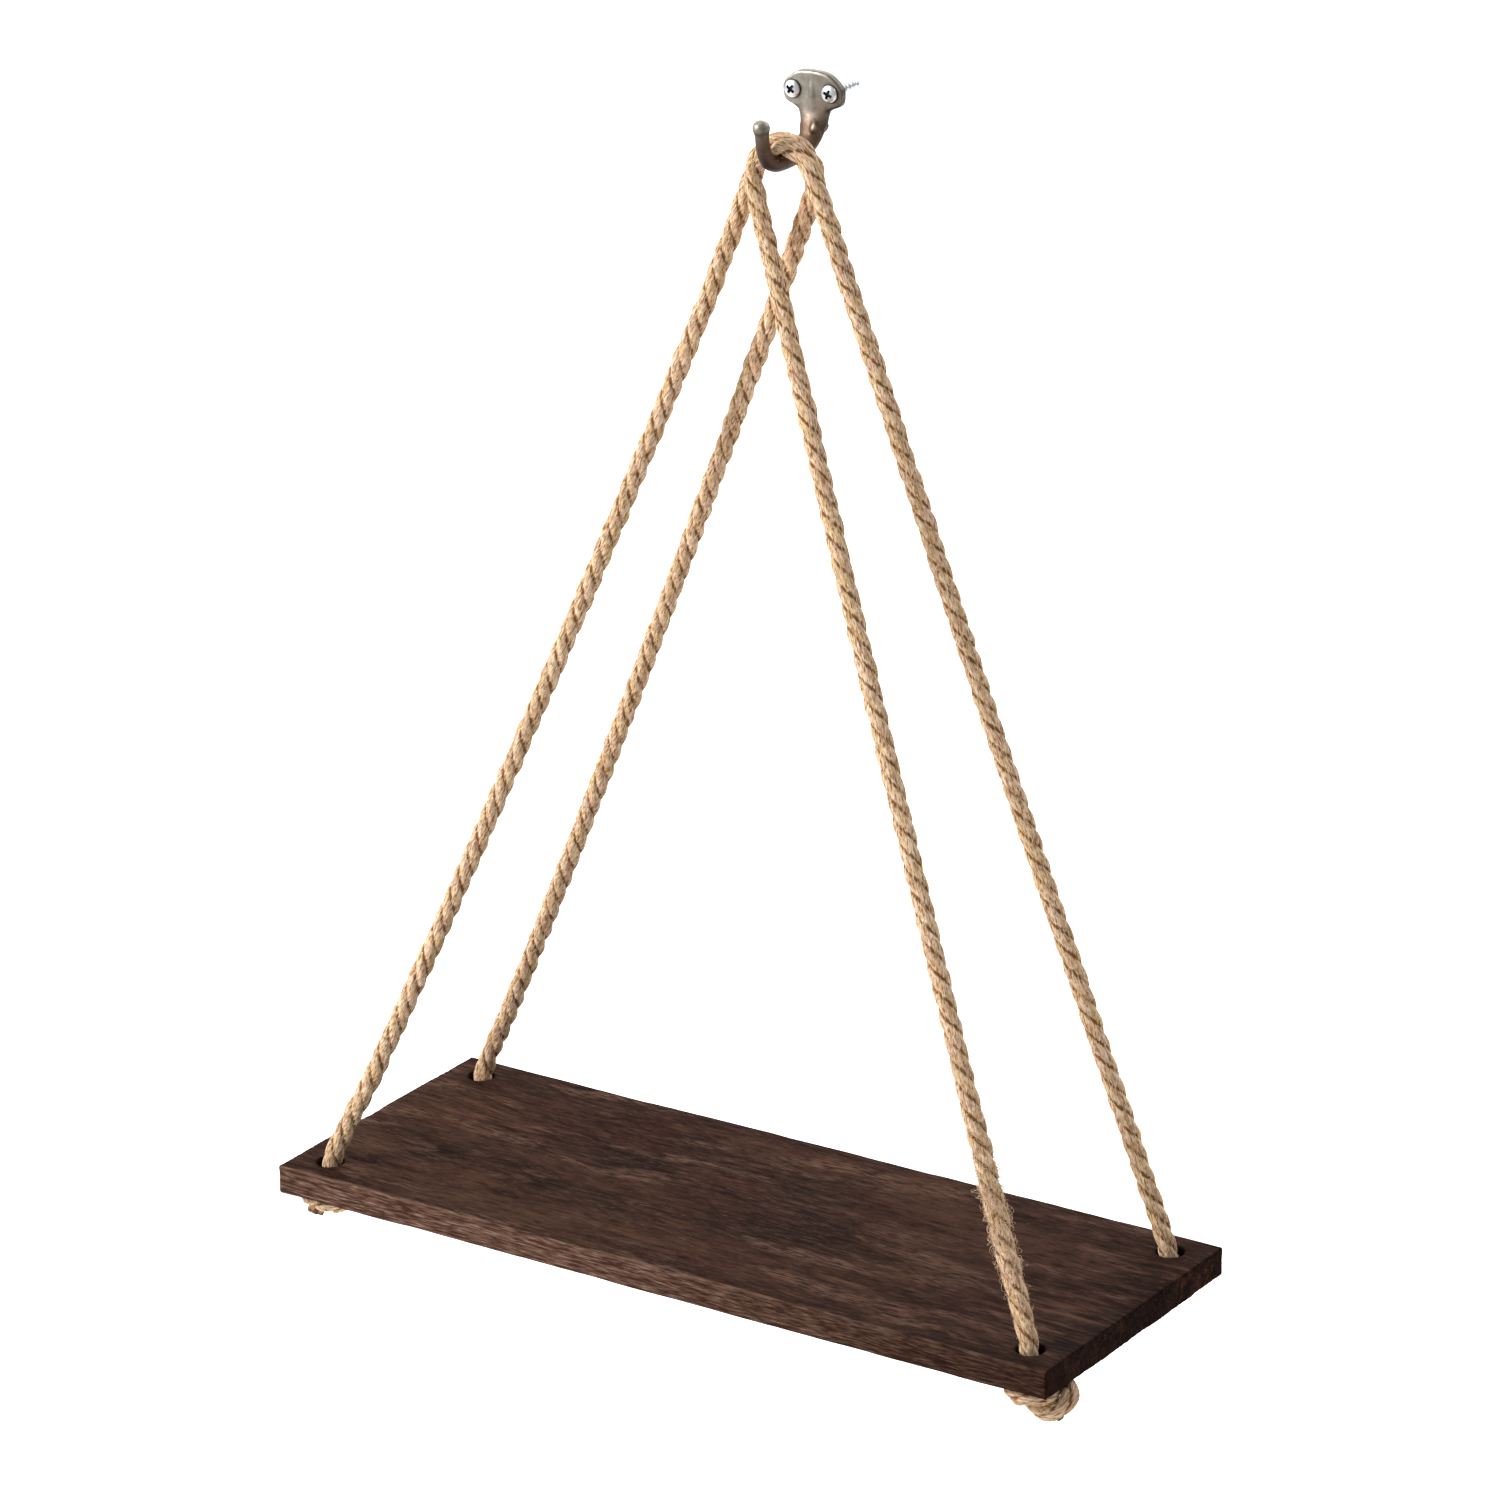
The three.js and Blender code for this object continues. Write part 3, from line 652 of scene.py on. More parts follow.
def streaked(tone, values, layers):
    """Mixes in one colour for each layer, as much as its two stops say for the value that it follows."""
    for name, first_stop, last_stop, colour in layers:
        tone = mix(ramp(values[name], [first_stop, last_stop]), tone, colour)
    return tone


def bump(height, strength, distance):
    return value_of("ShaderNodeBump", {"Strength": strength, "Distance": distance, "Height": height})


def object_place(tree):
    return value_of("ShaderNodeTexCoord", output="Object", tree=tree)


def new_material(name, values):
    """A material with one Principled shader that has these values."""
    material = bpy.data.materials.new(name)
    material.use_nodes = True
    tree = material.node_tree
    shader = tree.nodes["Principled BSDF"]
    feed(shader, values)
    return material, tree, shader


# Wood of the board

# The board's streaks: how close they lie along and across the grain, their detail, and how far they waver
BOARD_STREAKS = {
    "broad": (7.0, 34.0, 3.0, 0.03),
    "hues": (9.0, 26.0, 2.0, 0.02),
    "middle": (60.0, 380.0, 3.0, 0.008),
    "fine": (130.0, 1100.0, 2.0, 0.004),
    "dashes": (190.0, 1500.0, 2.0, 0.003),
    "clusters": (13.0, 70.0, 2.0, 0.02),
    "rubbed": (12.0, 190.0, 5.0, 0.012),
    "pores": (110.0, 1450.0, 2.0, 0.003),
}
WOOD_STOPS = [
    (0.36, (0.015, 0.006, 0.0038)), (0.5, (0.031, 0.013, 0.0082)), (0.64, (0.056, 0.025, 0.016)),
]
# Layers of colour: the streaks they follow, two stops that say how much, and the colour
WOOD_LAYERS = (
    ("middle", (0.5, 0.0), (0.7, 0.65), (0.064, 0.029, 0.019)),
    ("middle", (0.3, 0.8), (0.46, 0.0), (0.011, 0.0046, 0.003)),
    ("fine", (0.32, 0.8), (0.46, 0.0), (0.01, 0.004, 0.0028)),
    ("fine", (0.58, 0.0), (0.73, 0.6), (0.105, 0.056, 0.038)),
    ("dashes", (0.62, 0.0), (0.76, 0.5), (0.18, 0.105, 0.07)),
)
FRONT_EDGE_TONE = (0.142, 0.077, 0.054)
FRONT_EDGE_LAYERS = (
    ("pores", (0.42, 0.9), (0.54, 0.0), (0.04, 0.017, 0.0108)),
    ("pores", (0.58, 0.0), (0.7, 0.8), (0.31, 0.205, 0.155)),
)
# A place by the front right hole where the stain has been rubbed thin
RUBBED_PLACE = (0.186, -0.112, BOARD_TOP)
RUBBED_REACH = 0.045


def grain_group():
    """Streaks of wood that run along X, as a value from 0 to 1."""
    tree, given, made = new_tree("wood_streaks", "ShaderNodeTree", [
        ("Vector", "Vector", None),
        ("Along", "Float", 10.0),
        ("Across", "Float", 300.0),
        ("Detail", "Float", 4.0),
        ("Waver", "Float", 0.004),
    ], ("Value", "Float"))
    waver = noise(given["Vector"], 14.0, 2.0, "Color")
    centred = vector_calc("SUBTRACT", waver, (0.5, 0.5, 0.5))
    shift = vector_calc("SCALE", centred, given["Waver"])
    wavering = vector_calc("ADD", given["Vector"], shift)
    stretch = vector(given["Along"], given["Across"], given["Across"])
    stretched = vector_calc("MULTIPLY", wavering, stretch)
    feed(made, {0: noise(stretched, 1.0, given["Detail"], Roughness=0.6)})
    return tree


def board_streaks(streaks, place):
    """The values of the wood's streaks, by name."""
    return {
        name: value_of("ShaderNodeGroup", {
            "Vector": place, "Along": along, "Across": across, "Detail": detail, "Waver": waver,
        }, node_tree=streaks)
        for name, (along, across, detail, waver) in BOARD_STREAKS.items()
    }


def stained_tone(place, wood):
    """The tone of the board's faces, with stain that is rubbed thin in a few places."""
    blotches = noise(place, 11.0, 3.0)
    tone = ramp(wood["broad"], WOOD_STOPS)
    for low, high, colour in ((0.54, 0.7, (0.06, 0.03, 0.0195)), (0.46, 0.3, (0.04, 0.013, 0.0092))):
        tone = mix(times(band(wood["hues"], low, high), 0.7), tone, colour)
    tone = mix(band(blotches, 0.52, 0.68), tone, (0.016, 0.0082, 0.0062))
    tone = streaked(tone, wood, WOOD_LAYERS)
    clusters = times(band(wood["clusters"], 0.54, 0.66), band(wood["fine"], 0.42, 0.6), 0.75)
    tone = mix(clusters, tone, (0.135, 0.076, 0.054))
    from_rubbed = vector_calc("DISTANCE", place, RUBBED_PLACE)
    near_rubbed = band(from_rubbed, RUBBED_REACH, 0.01)
    patches = calc("MAXIMUM", band(blotches, 0.44, 0.33), near_rubbed)
    rubbed = times(ramp(wood["rubbed"], [(0.5, 0.0), (0.64, 0.65)]), patches)
    tone = mix(rubbed, tone, (0.165, 0.08, 0.05))
    return tinted(tone, (0.84, 0.82, 0.79))


def inside_holes(from_middle, y):
    """1 on the walls of the four holes, 0 beyond their mouths."""
    from_middle_y = calc("ABSOLUTE", calc("SUBTRACT", y, BOARD_MIDDLE_Y))
    from_row = calc("SUBTRACT", from_middle_y, BOARD_HIGH.y - HOLE_FROM_SIDE - BOARD_MIDDLE_Y)
    from_end = calc("SUBTRACT", from_middle, BOARD_HIGH.x - HOLE_FROM_END)
    return band(length_of(from_row, from_end), HOLE_RADIUS + HOLE_FLARE, HOLE_RADIUS)


def dark_board_finish(streaks):
    material, tree, shader = new_material("dark_stained_wood", {
        "Metallic": 0.0, "Specular IOR Level": 0.04,
    })
    place = object_place(tree)
    x, y, z = parts(place)
    from_middle = calc("ABSOLUTE", x)
    wood = board_streaks(streaks, place)
    tone = stained_tone(place, wood)
    # the front edge is lighter: partly the less stain it takes, partly painted light, as the key light
    # falls full on it; it shows dense short pores
    front_tone = streaked(FRONT_EDGE_TONE, wood, FRONT_EDGE_LAYERS)
    # painted shade: both are darker toward the right, standing in for the key light's falloff from the left
    right_falloff_shade = band(x, BOARD_LOW.x * 0.2, BOARD_HIGH.x * 0.95)
    tone = mix(right_falloff_shade, tone, tinted(tone, (0.8, 0.79, 0.82)))
    front_tone = mix(right_falloff_shade, front_tone, tinted(front_tone, (0.34, 0.3, 0.29)))
    front = band(y, BOARD_LOW.y + 0.0016, BOARD_LOW.y + 0.0004)
    tone = mix(times(front, 0.9), tone, front_tone)
    # the end grain is darker: partly the more stain it takes, partly painted shade, as the right end faces
    # away from the key light
    end = band(from_middle, BOARD_HIGH.x - 0.0014, BOARD_HIGH.x - 0.0004)
    tone = tinted(tone, (0.62, 0.45, 0.34), end)
    # the upper front edge is a little lighter: some wear, and a painted highlight along the edge
    at_top = band(z, BOARD_TOP - 0.0018, BOARD_TOP - 0.0006)
    at_front = band(y, BOARD_LOW.y + 0.0022, BOARD_LOW.y + 0.0007)
    wear_and_highlight = times(at_top, at_front, ramp(wood["middle"], [(0.4, 0.0), (0.65, 0.55)]))
    tone = mix(wear_and_highlight, tone, (0.19, 0.115, 0.082))
    # painted shade: the walls of the four holes are darkest, as shade falls into them
    tone = mix(times(inside_holes(from_middle, y), 0.85), tone, (0.006, 0.003, 0.002))
    shares = (("fine", 0.6), ("middle", 0.4), ("dashes", 0.4))
    height = calc("ADD", *(times(wood[name], share) for name, share in shares))
    feed(shader, {
        "Base Color": tone, "Roughness": ramp(wood["middle"], [(0.3, 0.95), (0.7, 0.8)]),
        "Normal": bump(height, 0.6, 0.0007),
    })
    return material


# Jute of the ropes

# Its fibres: how close they lie across and along the rope, and their detail
JUTE_FIBRES = {
    "yarns": (760.0, 170.0, 3.0),
    "hairs": (2000.0, 360.0, 2.0),
    "lengths": (150.0, 60.0, 3.0),
    "hues": (330.0, 110.0, 2.0),
}
JUTE_TONE = (0.75, 0.495, 0.245)
JUTE_LAYERS = (
    ("hues", (0.4, 0.0), (0.6, 1.0), (0.74, 0.465, 0.325)),
    ("yarns", (0.34, 0.75), (0.48, 0.0), (0.36, 0.195, 0.088)),
    ("yarns", (0.52, 0.0), (0.66, 0.8), (0.88, 0.71, 0.5)),
    ("hairs", (0.53, 0.0), (0.63, 0.85), (0.94, 0.8, 0.6)),
    ("hairs", (0.35, 0.95), (0.46, 0.0), (0.2, 0.088, 0.028)),
    ("lengths", (0.5, 0.0), (0.7, 0.4), (0.42, 0.25, 0.13)),
)


def jute_finish():
    material, tree, shader = new_material("laid_jute", {
        "Metallic": 0.0, "Roughness": 0.95, "Specular IOR Level": 0.15,
    })
    space, groove, to_end = (
        value_of("ShaderNodeAttribute", output=output, tree=tree, attribute_name=name)
        for name, output in (("rope_space", "Vector"), ("rope_groove", "Fac"), ("to_end", "Fac"))
    )
    jute = {}
    for name, (across, along, detail) in JUTE_FIBRES.items():
        laid = value_of("ShaderNodeMapping", {"Vector": space, "Scale": (across, across, along)})
        jute[name] = noise(laid, 1.0, detail, Roughness=0.6)
    tone = streaked(JUTE_TONE, jute, JUTE_LAYERS)
    # painted shade: the grooves between strands are darkened, but fibres cross them
    crossed = times(calc("SUBTRACT", jute["yarns"], 0.5), 3.0)
    dark = ramp(calc("ADD", groove, crossed), [(0.74, 0.0), (0.96, 0.95)])
    near_groove = ramp(groove, [(0.58, 0.0), (0.82, 1.0)])
    tone = mix(times(dark, near_groove), tone, (0.185, 0.08, 0.022))
    # painted shade: the cut ends are darkened too
    cut_end_shade = ramp(times(to_end, 200.0), [(0.1, 0.85), (0.6, 0.0)])
    tone = mix(cut_end_shade, tone, (0.1, 0.05, 0.026))
    height = calc("ADD", jute["yarns"], times(jute["hairs"], 0.6))
    feed(shader, {"Base Color": tone, "Normal": bump(height, 0.9, 0.0008)})
    return material


def clouded_finish(name, values, scale, detail, stops, roughness=None):
    """A finish whose tone, and perhaps its roughness, follows fine clouds."""
    material, tree, shader = new_material(name, values)
    clouds = noise(object_place(tree), scale, detail)
    feed(shader, {"Base Color": ramp(clouds, stops)})
    if roughness:
        feed(shader, {"Roughness": ramp(clouds, roughness)})
    return material


def loose_jute_finish():
    stops = [(0.35, (0.42, 0.27, 0.15)), (0.65, (0.78, 0.6, 0.42))]
    return clouded_finish("loose_jute_fibre", {"Metallic": 0.0, "Roughness": 0.85}, 400.0, 1.0, stops)


# Metal of the hook and the screws

PEWTER_STOPS = [(0.3, (0.24, 0.212, 0.172)), (0.5, (0.38, 0.352, 0.3)), (0.7, (0.54, 0.51, 0.455))]
# The nose where the arm leaves the plate, which gets a painted highlight
NOSE = Vector((0.0034, 0, -0.0152))


def soft(value, low, high):
    return band(value, low, high, interpolation_type="SMOOTHSTEP")


def screw_shadows_and_dark_sides(from_middle, y, z, facing_y):
    """1 in a painted shadow round the screw heads, and less along the sides of the plate, which are darker.
    """
    from_screw = length_of(calc("SUBTRACT", from_middle, SCREW_SPACING / 2), z)
    round_heads = soft(from_screw, SCREW_HEAD_RADIUS + 0.0011, SCREW_HEAD_RADIUS + 0.0001)
    aside = soft(facing_y, -0.75, -0.25)
    on_plate = soft(y, -0.0058, -0.0046)
    return calc("MAXIMUM", round_heads, times(aside, on_plate, 0.75))


def pewter_finish():
    """Cast metal, browner and darker from the neck down, with patina and painted shade in its hollows,
    painted shade to the right, where it looks down and round the screw heads, a painted highlight on its
    nose, and edges lighter from a little rubbing and a painted highlight.
    """
    material, tree, shader = new_material("aged_pewter", {"Metallic": 0.8})
    place = object_place(tree)
    patina = noise(place, 240.0, 5.0)
    grit = noise(place, 2600.0, 3.0)
    x, y, z = parts(place)
    surface = add("ShaderNodeNewGeometry", tree=tree).outputs
    _, facing_y, facing_z = parts(surface["Normal"])
    # darker and browner to the right, painted shade as the key light comes from the left; browner and
    # darker from the neck down; and painted shade, darkest, where the surface looks down
    right = soft(x, -0.01, 0.012)
    low = soft(z, -0.005, -0.017)
    underside_shade = soft(facing_z, 0.1, -0.6)
    # a painted highlight on the nose, and along its edges a painted highlight with a little rubbing
    from_nose = length_of(calc("SUBTRACT", x, NOSE.x), calc("SUBTRACT", z, NOSE.z))
    before_plate = times(soft(y, -0.007, -0.009), soft(y, -0.022, -0.018))
    nose_highlight = times(soft(from_nose, 0.0026, 0.0), before_plate)
    edges = soft(surface["Pointiness"], 0.53, 0.6)
    # in the hollows patina, with painted shade where shade falls in them
    hollows = soft(surface["Pointiness"], 0.48, 0.42)
    # a painted shadow round the screw heads, and darker sides of the plate
    head_shadow_and_dark_sides = screw_shadows_and_dark_sides(calc("ABSOLUTE", x), y, z, facing_y)
    tone = ramp(patina, PEWTER_STOPS)
    for amount, strength, colour in (
        (right, 0.6, (0.19, 0.15, 0.12)),
        (low, 0.9, (0.115, 0.062, 0.033)),
        (underside_shade, 0.92, (0.022, 0.013, 0.009)),
        (nose_highlight, 0.8, (0.58, 0.48, 0.38)),
        (edges, 0.6, (0.66, 0.63, 0.56)),
        (hollows, 0.6, (0.06, 0.045, 0.032)),
        (head_shadow_and_dark_sides, 0.9, (0.045, 0.038, 0.03)),
    ):
        tone = mix(times(amount, strength), tone, colour)
    roughness = calc("ADD", ramp(patina, [(0.3, 0.5), (0.7, 0.34)]), times(low, 0.1))
    feed(shader, {"Base Color": tone, "Roughness": roughness, "Normal": bump(grit, 0.3, 0.0002)})
    return material


def bright_zinc_finish():
    stops = [(0.3, (0.72, 0.76, 0.8)), (0.7, (0.92, 0.94, 0.96))]
    return clouded_finish("bright_zinc", {"Metallic": 1.0}, 700.0, 3.0, stops, [(0.3, 0.42), (0.7, 0.34)])


def dark_recess_finish():
    """Painted shade at the bottom of a screw's cross recess."""
    stops = [(0.35, (0.01, 0.014, 0.022)), (0.7, (0.035, 0.045, 0.065))]
    return clouded_finish("dark_recess", {"Metallic": 0.6, "Roughness": 0.6}, 1800.0, 2.0, stops)


# Board

def places_across(low, high, step):
    """Places from low to high, a step apart but close together where the edges are round."""
    rounding = [BOARD_EDGE_ROUND * share for share in (0, 0.25, 0.55, 1)]
    inner_low, inner_high = low + BOARD_EDGE_ROUND, high - BOARD_EDGE_ROUND
    count = round((inner_high - inner_low) / step)
    inner = [inner_low + (inner_high - inner_low) * i / count for i in range(1, count)]
    return [low + d for d in rounding] + inner + [high - d for d in reversed(rounding)]


def plank_mesh():
    """The whole plank with soft edges, finely divided across its grain."""
    steps = (0.005, 0.0008, 0.0008)
    axes = [places_across(BOARD_LOW[axis], BOARD_HIGH[axis], steps[axis]) for axis in range(3)]
    last = [len(places) - 1 for places in axes]
    core_low = [low + BOARD_EDGE_ROUND for low in BOARD_LOW]
    core_high = [high - BOARD_EDGE_ROUND for high in BOARD_HIGH]
    bm = bmesh.new()
    made = {}

    def corner(index):
        if index not in made:
            point = Vector(axes[axis][i] for axis, i in enumerate(index))
            core = Vector(clamp(point[axis], core_low[axis], core_high[axis]) for axis in range(3))
            made[index] = bm.verts.new(core + (point - core).normalized() * BOARD_EDGE_ROUND)
        return made[index]
    for axis in range(3):
        u, v = (axis + 1) % 3, (axis + 2) % 3
        for level in (0, last[axis]):
            for i in range(last[u]):
                for j in range(last[v]):
                    corners = []
                    for du, dv in ((0, 0), (1, 0), (1, 1), (0, 1)):
                        index = [0, 0, 0]
                        index[axis], index[u], index[v] = level, i + du, j + dv
                        corners.append(corner(tuple(index)))
                    bm.faces.new(corners if level else corners[::-1])
    return closed_mesh(bm, "plank")


def weathered_board_tree():
    """Brushed grain that runs along X, cut a little below the plank's faces."""
    tree, given, made = new_tree("weathered_board", "GeometryNodeTree", [
        ("Plank", "Geometry", None),
        ("Grain Depth", "Float", 0.0002),
        ("Wear Depth", "Float", 0.0004),
        ("Material", "Material", None),
    ], ("Board", "Geometry"))
    place = value_of("GeometryNodeInputPosition", tree=tree)

    def cut(stretch, shallow, deep, depth):
        stretched = vector_calc("MULTIPLY", place, stretch)
        share = value_of("ShaderNodeMapRange", {
            "Value": noise(stretched, 1.0, 2.0, Distortion=0.3),
            "From Min": deep, "From Max": shallow, "To Min": -1.0, "To Max": 0.0,
        })
        return times(share, depth)
    grain = cut((48.0, 430.0, 430.0), 0.56, 0.36, given["Grain Depth"])
    wear = cut((7.0, 30.0, 30.0), 0.6, 0.4, given["Wear Depth"])
    board = pushed_out(given["Plank"], calc("ADD", grain, wear))
    feed(made, {0: with_material(realized(board), given)})
    return tree


def bridge(bm, low, high):
    """Faces from one ring of points to the next, either of which may be a single point."""
    sides = max(len(low), len(high))
    for i in range(sides):
        j = (i + 1) % sides
        corners = [low[i % len(low)], low[j % len(low)], high[j % len(high)], high[i % len(high)]]
        bm.faces.new(list(dict.fromkeys(corners)))


def lathe(bm, profile, centre, axis, sides):
    """Spins (radius, along) points about an axis and closes both ends on it."""
    spin = Vector((0, 0, 1)).rotation_difference(axis).to_matrix()
    rings = []
    for radius, along in profile:
        turns = [2 * pi * i / sides for i in range(sides if radius else 1)]
        points = [Vector((radius * cos(turn), radius * sin(turn), along)) for turn in turns]
        rings.append([bm.verts.new(centre + spin @ point) for point in points])
    for low, high in zip(rings, rings[1:]):
        bridge(bm, low, high)


def cut_by(cutter, **more):
    """A modifier for made_by that cuts one object from another."""
    return "BOOLEAN", {"object": cutter, "operation": "DIFFERENCE", "solver": "EXACT", **more}


def quarter_turns(steps):
    return [pi / 2 * step / steps for step in range(1, steps + 1)]


def hole_cutters():
    """Four drilled holes with eased mouths, as solids to cut from the board."""
    past = 0.002
    mouth_radius = HOLE_RADIUS + HOLE_FLARE
    profile = [(0, -past), (mouth_radius, -past), (mouth_radius, 0)]
    for turn in quarter_turns(4):
        radius = HOLE_RADIUS + HOLE_FLARE * (1 - sin(turn))
        profile.append((radius, HOLE_FLARE * (1 - cos(turn))))
    profile += [(radius, BOARD_THICKNESS - along) for radius, along in reversed(profile)]
    bm = bmesh.new()
    for side in (-1, 1):
        for row in (-1, 1):
            centre = hole_centre(side, row) + Vector((0, 0, BOARD_UNDERSIDE))
            lathe(bm, profile, centre, Vector((0, 0, 1)), 48)
    return new_object("holes", closed_mesh(bm, "holes"))


def make_board(finish):
    cutters = hole_cutters()
    cutters.data.materials.append(finish)
    board = made_by("board", plank_mesh(), weathered_board_tree(), {"Material": finish}, [cut_by(cutters)])
    bpy.data.objects.remove(cutters)
    board.data.shade_smooth()
    board.data.set_sharp_from_angle(angle=radians(50))
    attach(board, "hanging_shelf")
    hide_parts("shelf_board")


# Hook: the CAD casting, made a little fuller, with its joints and edges softened as cast metal has them

# How much wider the neck is: the share, at what height, and how far from there it ends
NECK_SWELLS = ((0.26, -0.0105, 0.009), (0.13, -0.02, 0.011))
# How much further out the plate's edges stand, where this begins, and over what width and height
EDGE_SWELL = 0.0013
EDGE_FROM = 0.0085
EDGE_WIDTH = 0.0058
EDGE_REACH = 0.015
# How far the nose stands out, and how far up and aside it goes
NOSE_SWELL = 0.0024
NOSE_TALL = 0.0048
NOSE_WIDE = 0.0033
# How much higher the rope's seat is on the arm, how far out it is, and how far from there it ends
SEAT_SWELL = 0.0013
SEAT_Y = -0.0295
SEAT_REACH = 0.011
PLATE_FRONT_Y = -0.006
ARM_FROM_Y = -0.02
ARM_TOP_Z = -0.02
ARM_MIDDLE_Z = -0.0277


def fuller(point):
    """A wider neck, a wider plate edge, a small nose where the arm leaves it, and a thicker rope seat."""
    x, y, z = point
    near_plate = clamp((y - ARM_FROM_Y) / 0.006)
    neck = sum(share * hump(z, height, reach) for share, height, reach in NECK_SWELLS)
    edge = clamp((abs(x) - EDGE_FROM) / EDGE_WIDTH) ** 2 * hump(z, 0, EDGE_REACH)
    nose = NOSE_SWELL * hump(z, NOSE.z, NOSE_TALL) * hump(x, NOSE.x, NOSE_WIDE)
    seat = SEAT_SWELL * hump(y, SEAT_Y, SEAT_REACH) * clamp((z - ARM_MIDDLE_Z) / 0.002)
    return Vector((
        x * (1 + neck * near_plate) + copysign(EDGE_SWELL, x) * edge,
        y - (nose if ARM_FROM_Y < y < PLATE_FRONT_Y else 0),
        z + (seat if z < ARM_TOP_Z else 0),
    ))


# Where the casting's joints are: how far aside, between what heights, and before or behind what depth
JOINT_HALF_WIDTH = 0.0075
JOINT_LOW, JOINT_HIGH = -0.016, -0.0025
BALL_FROM_Y = -0.022
NECK_ROUNDS = 90
BALL_ROUNDS = 25


def soften_joints(bm):
    """Rounds off the seams where the arm leaves the plate and where the ball sits on the arm."""
    neck, below_ball = [], []
    for vertex in bm.verts:
        x, y, z = vertex.co
        if abs(x) < JOINT_HALF_WIDTH and JOINT_LOW < z < JOINT_HIGH:
            (neck if y > BALL_FROM_Y else below_ball).append(vertex)
    for joint, rounds in ((neck, NECK_ROUNDS), (below_ball, BALL_ROUNDS)):
        for _ in range(rounds):
            bmesh.ops.smooth_vert(
                bm, verts=joint, factor=0.5, use_axis_x=True, use_axis_y=True, use_axis_z=True,
            )


def make_hook(finish):
    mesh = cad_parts["wall_hook"].data.copy()
    bm = bmesh.new()
    bm.from_mesh(mesh)
    bmesh.ops.remove_doubles(bm, verts=bm.verts, dist=0.00001)
    bm.to_mesh(mesh)
    bm.free()
    mesh.materials.clear()
    mesh.materials.append(finish)
    hook = made_by("cast_hook", mesh, more=(
        ("REMESH", {"mode": "VOXEL", "voxel_size": 0.00038, "use_smooth_shade": True}),
        ("SMOOTH", {"factor": 0.5, "iterations": 10}),
    ))
    bm = bmesh.new()
    bm.from_mesh(hook.data)
    soften_joints(bm)
    for vertex in bm.verts:
        vertex.co = fuller(vertex.co)
    bm.to_mesh(hook.data)
    bm.free()
    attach(hook, "wall_hook")
    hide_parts("wall_hook")


# Screws: round heads with a cross recess, and threaded shanks

THREAD_FROM_HEAD = 0.0065
# The recess, above a head's top and at its bottom: how deep, how far its wings reach, and half their width
RECESS_LEVELS = ((-0.0008, 0.0031, 0.00082), (0.0014, 0.0015, 0.00055))


def screw_mesh(centre_x):
    """A round-head screw with a plain shank."""
    rim = SCREW_HEAD_HEIGHT * 0.3
    dome = SCREW_HEAD_HEIGHT - rim
    core = SCREW_SHANK_RADIUS * 0.72
    tip = 0.005
    ease = 0.0001
    profile = [(0, -SCREW_HEAD_HEIGHT)]
    for turn in quarter_turns(9):
        profile.append((SCREW_HEAD_RADIUS * sin(turn), -rim - dome * cos(turn)))
    profile += [(SCREW_HEAD_RADIUS, -ease), (SCREW_HEAD_RADIUS - ease, 0), (core, 0)]
    profile += [(core, SCREW_LENGTH - tip), (0, SCREW_LENGTH)]
    bm = bmesh.new()
    lathe(bm, profile, Vector((centre_x, HEAD_SEAT_Y, 0)), Vector((0, 1, 0)), 48)
    return closed_mesh(bm, "screw")


def recess_cutter(centre_x, turn, finish):
    """A cross with tapered wings, to sink into a screw's head."""
    bm = bmesh.new()
    rings = []
    for depth, reach, half_width in RECESS_LEVELS:
        ring = []
        for quarter in range(4):
            turned = Matrix.Rotation(turn + quarter * pi / 2, 3, "Y")
            for forward, aside in ((half_width, half_width), (reach, half_width), (reach, -half_width)):
                ring.append(bm.verts.new(turned @ Vector((forward, depth, aside))))
        rings.append(ring)
    bridge(bm, *rings)
    for ring in rings:
        bm.faces.new(ring)
    bmesh.ops.translate(bm, verts=bm.verts, vec=(centre_x, HEAD_SEAT_Y - SCREW_HEAD_HEIGHT, 0))
    mesh = closed_mesh(bm, "recess")
    mesh.materials.append(finish)
    return new_object("recess", mesh)


def thread_tree():
    """A sharp ridge wound round a shank that points into the wall."""
    tree, given, made = new_tree("screw_thread", "GeometryNodeTree", [
        ("Screw", "Geometry", None),
        ("Turns", "Float", 11.0),
        ("Core Radius", "Float", SCREW_SHANK_RADIUS * 0.7),
        ("Thread Height", "Float", SCREW_SHANK_RADIUS * 0.3),
        ("Threaded Length", "Float", 0.0165),
        ("Start", "Vector", (0.0, 0.0, 0.0)),
        ("Material", "Material", None),
    ], ("Threaded Screw", "Geometry"))
    spiral = value_of("GeometryNodeCurveSpiral", {
        "Resolution": 24, "Rotations": given["Turns"], "Start Radius": given["Core Radius"],
        "End Radius": given["Core Radius"], "Height": given["Threaded Length"],
    })
    section = circle(Resolution=3, Radius=given["Thread Height"])
    ridge = value_of("GeometryNodeTransform", {
        "Geometry": with_material(swept(spiral, section), given), "Translation": given["Start"],
        "Rotation": (-pi / 2, 0.0, 0.0),
    })
    join = add("GeometryNodeJoinGeometry", tree=tree)
    tree.links.new(given["Screw"], join.inputs[0])
    tree.links.new(ridge, join.inputs[0])
    feed(made, {0: realized(join.outputs[0])})
    return tree


def make_screw(word, side, turn, tree, finish, recess_finish):
    centre_x = side * SCREW_SPACING / 2
    cutter = recess_cutter(centre_x, turn, recess_finish)
    blank = screw_mesh(centre_x)
    blank.materials.append(finish)
    head = made_by("plain_screw", blank, more=[cut_by(cutter, material_mode="TRANSFER")])
    bpy.data.objects.remove(cutter)
    plain = head.data
    bpy.data.objects.remove(head)
    screw = made_by(f"{word}_screw", plain, tree, {
        "Start": (centre_x, HEAD_SEAT_Y + THREAD_FROM_HEAD, 0.0), "Material": finish,
    })
    screw.data.set_sharp_from_angle(angle=radians(35))
    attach(screw, "wall_hook")
    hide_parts(f"{word}_hook_screw")


# Studio

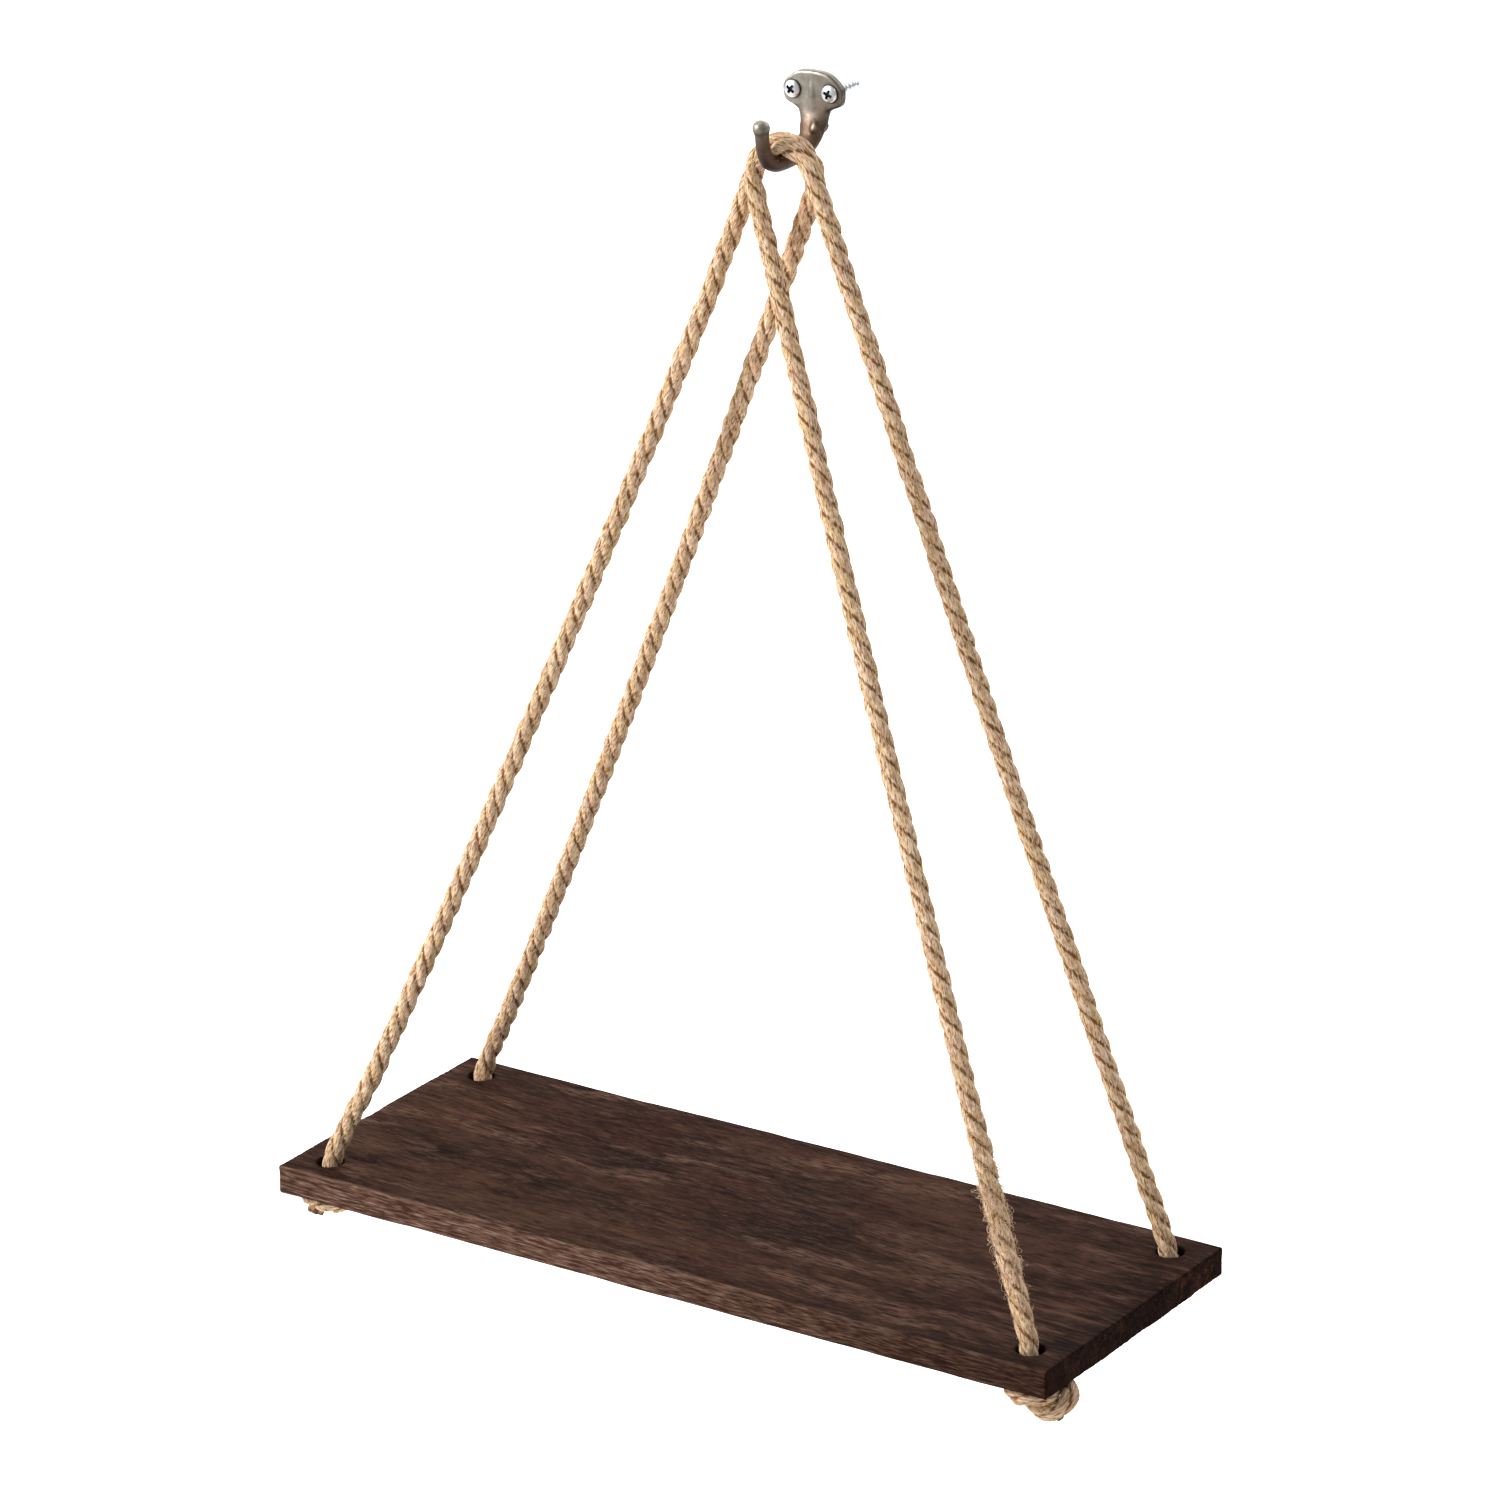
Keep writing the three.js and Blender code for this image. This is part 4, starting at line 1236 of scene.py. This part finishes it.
def area_light(name, place, looked_at, size, power, colour):
    data = bpy.data.lights.new(name, "AREA")
    data.shape = "RECTANGLE"
    data.size, data.size_y = size
    data.energy = power
    data.color = colour
    direction = Vector(looked_at) - Vector(place)
    turned = direction.to_track_quat("-Z", "Y").to_matrix().to_4x4()
    new_object(name, data).matrix_world = Matrix.Translation(place) @ turned


def studio():
    """A pale floor, a white surrounding, a key light from the left and a wash that whitens the floor."""
    mesh = bpy.data.meshes.new("floor")
    signs = ((-1, -1), (1, -1), (1, 1), (-1, 1))
    corners = [(FLOOR_REACH * x, FLOOR_REACH * y, FLOOR_HEIGHT) for x, y in signs]
    mesh.from_pydata(corners, [], [(0, 1, 2, 3)])
    pale, _, _ = new_material("pale_floor", {"Roughness": 0.9, "Base Color": (1.0, 1.0, 1.0, 1)})
    mesh.materials.append(pale)
    new_object("floor", mesh)
    world = bpy.data.worlds.new("studio")
    world.use_nodes = True
    surrounding = world.node_tree.nodes["Background"].inputs
    surrounding["Color"].default_value = (1, 1, 1, 1)
    surrounding["Strength"].default_value = 0.4
    bpy.context.scene.world = world
    area_light("key", (-1.9, -2.0, 1.2), SHELF_MIDDLE, (1.1, 1.1), 100, (1, 0.985, 0.96))
    area_light("top", (-0.6, -0.3, 2.2), SHELF_MIDDLE, (1.6, 1.6), 16, (1, 1, 1))
    area_light("floor_wash", (-1.6, 4.0, 1.2), (-1.6, 4.0, FLOOR_HEIGHT), (7.0, 6.0), 420, (1, 1, 1))
    bpy.context.scene.view_settings.view_transform = "Standard"


def main():
    studio_camera()
    finishes = {"jute": jute_finish(), "loose_jute": loose_jute_finish()}
    rope_tree, fibre_tree = laid_rope_tree(), loose_fibre_tree()
    for word in ROPES:
        make_rope(word, rope_tree, fibre_tree, finishes)
    make_board(dark_board_finish(grain_group()))
    make_hook(pewter_finish())
    zinc, recess, thread = bright_zinc_finish(), dark_recess_finish(), thread_tree()
    make_screw("left", -1, 0.6, thread, zinc, recess)
    make_screw("right", 1, 0.35, thread, zinc, recess)
    studio()


main()
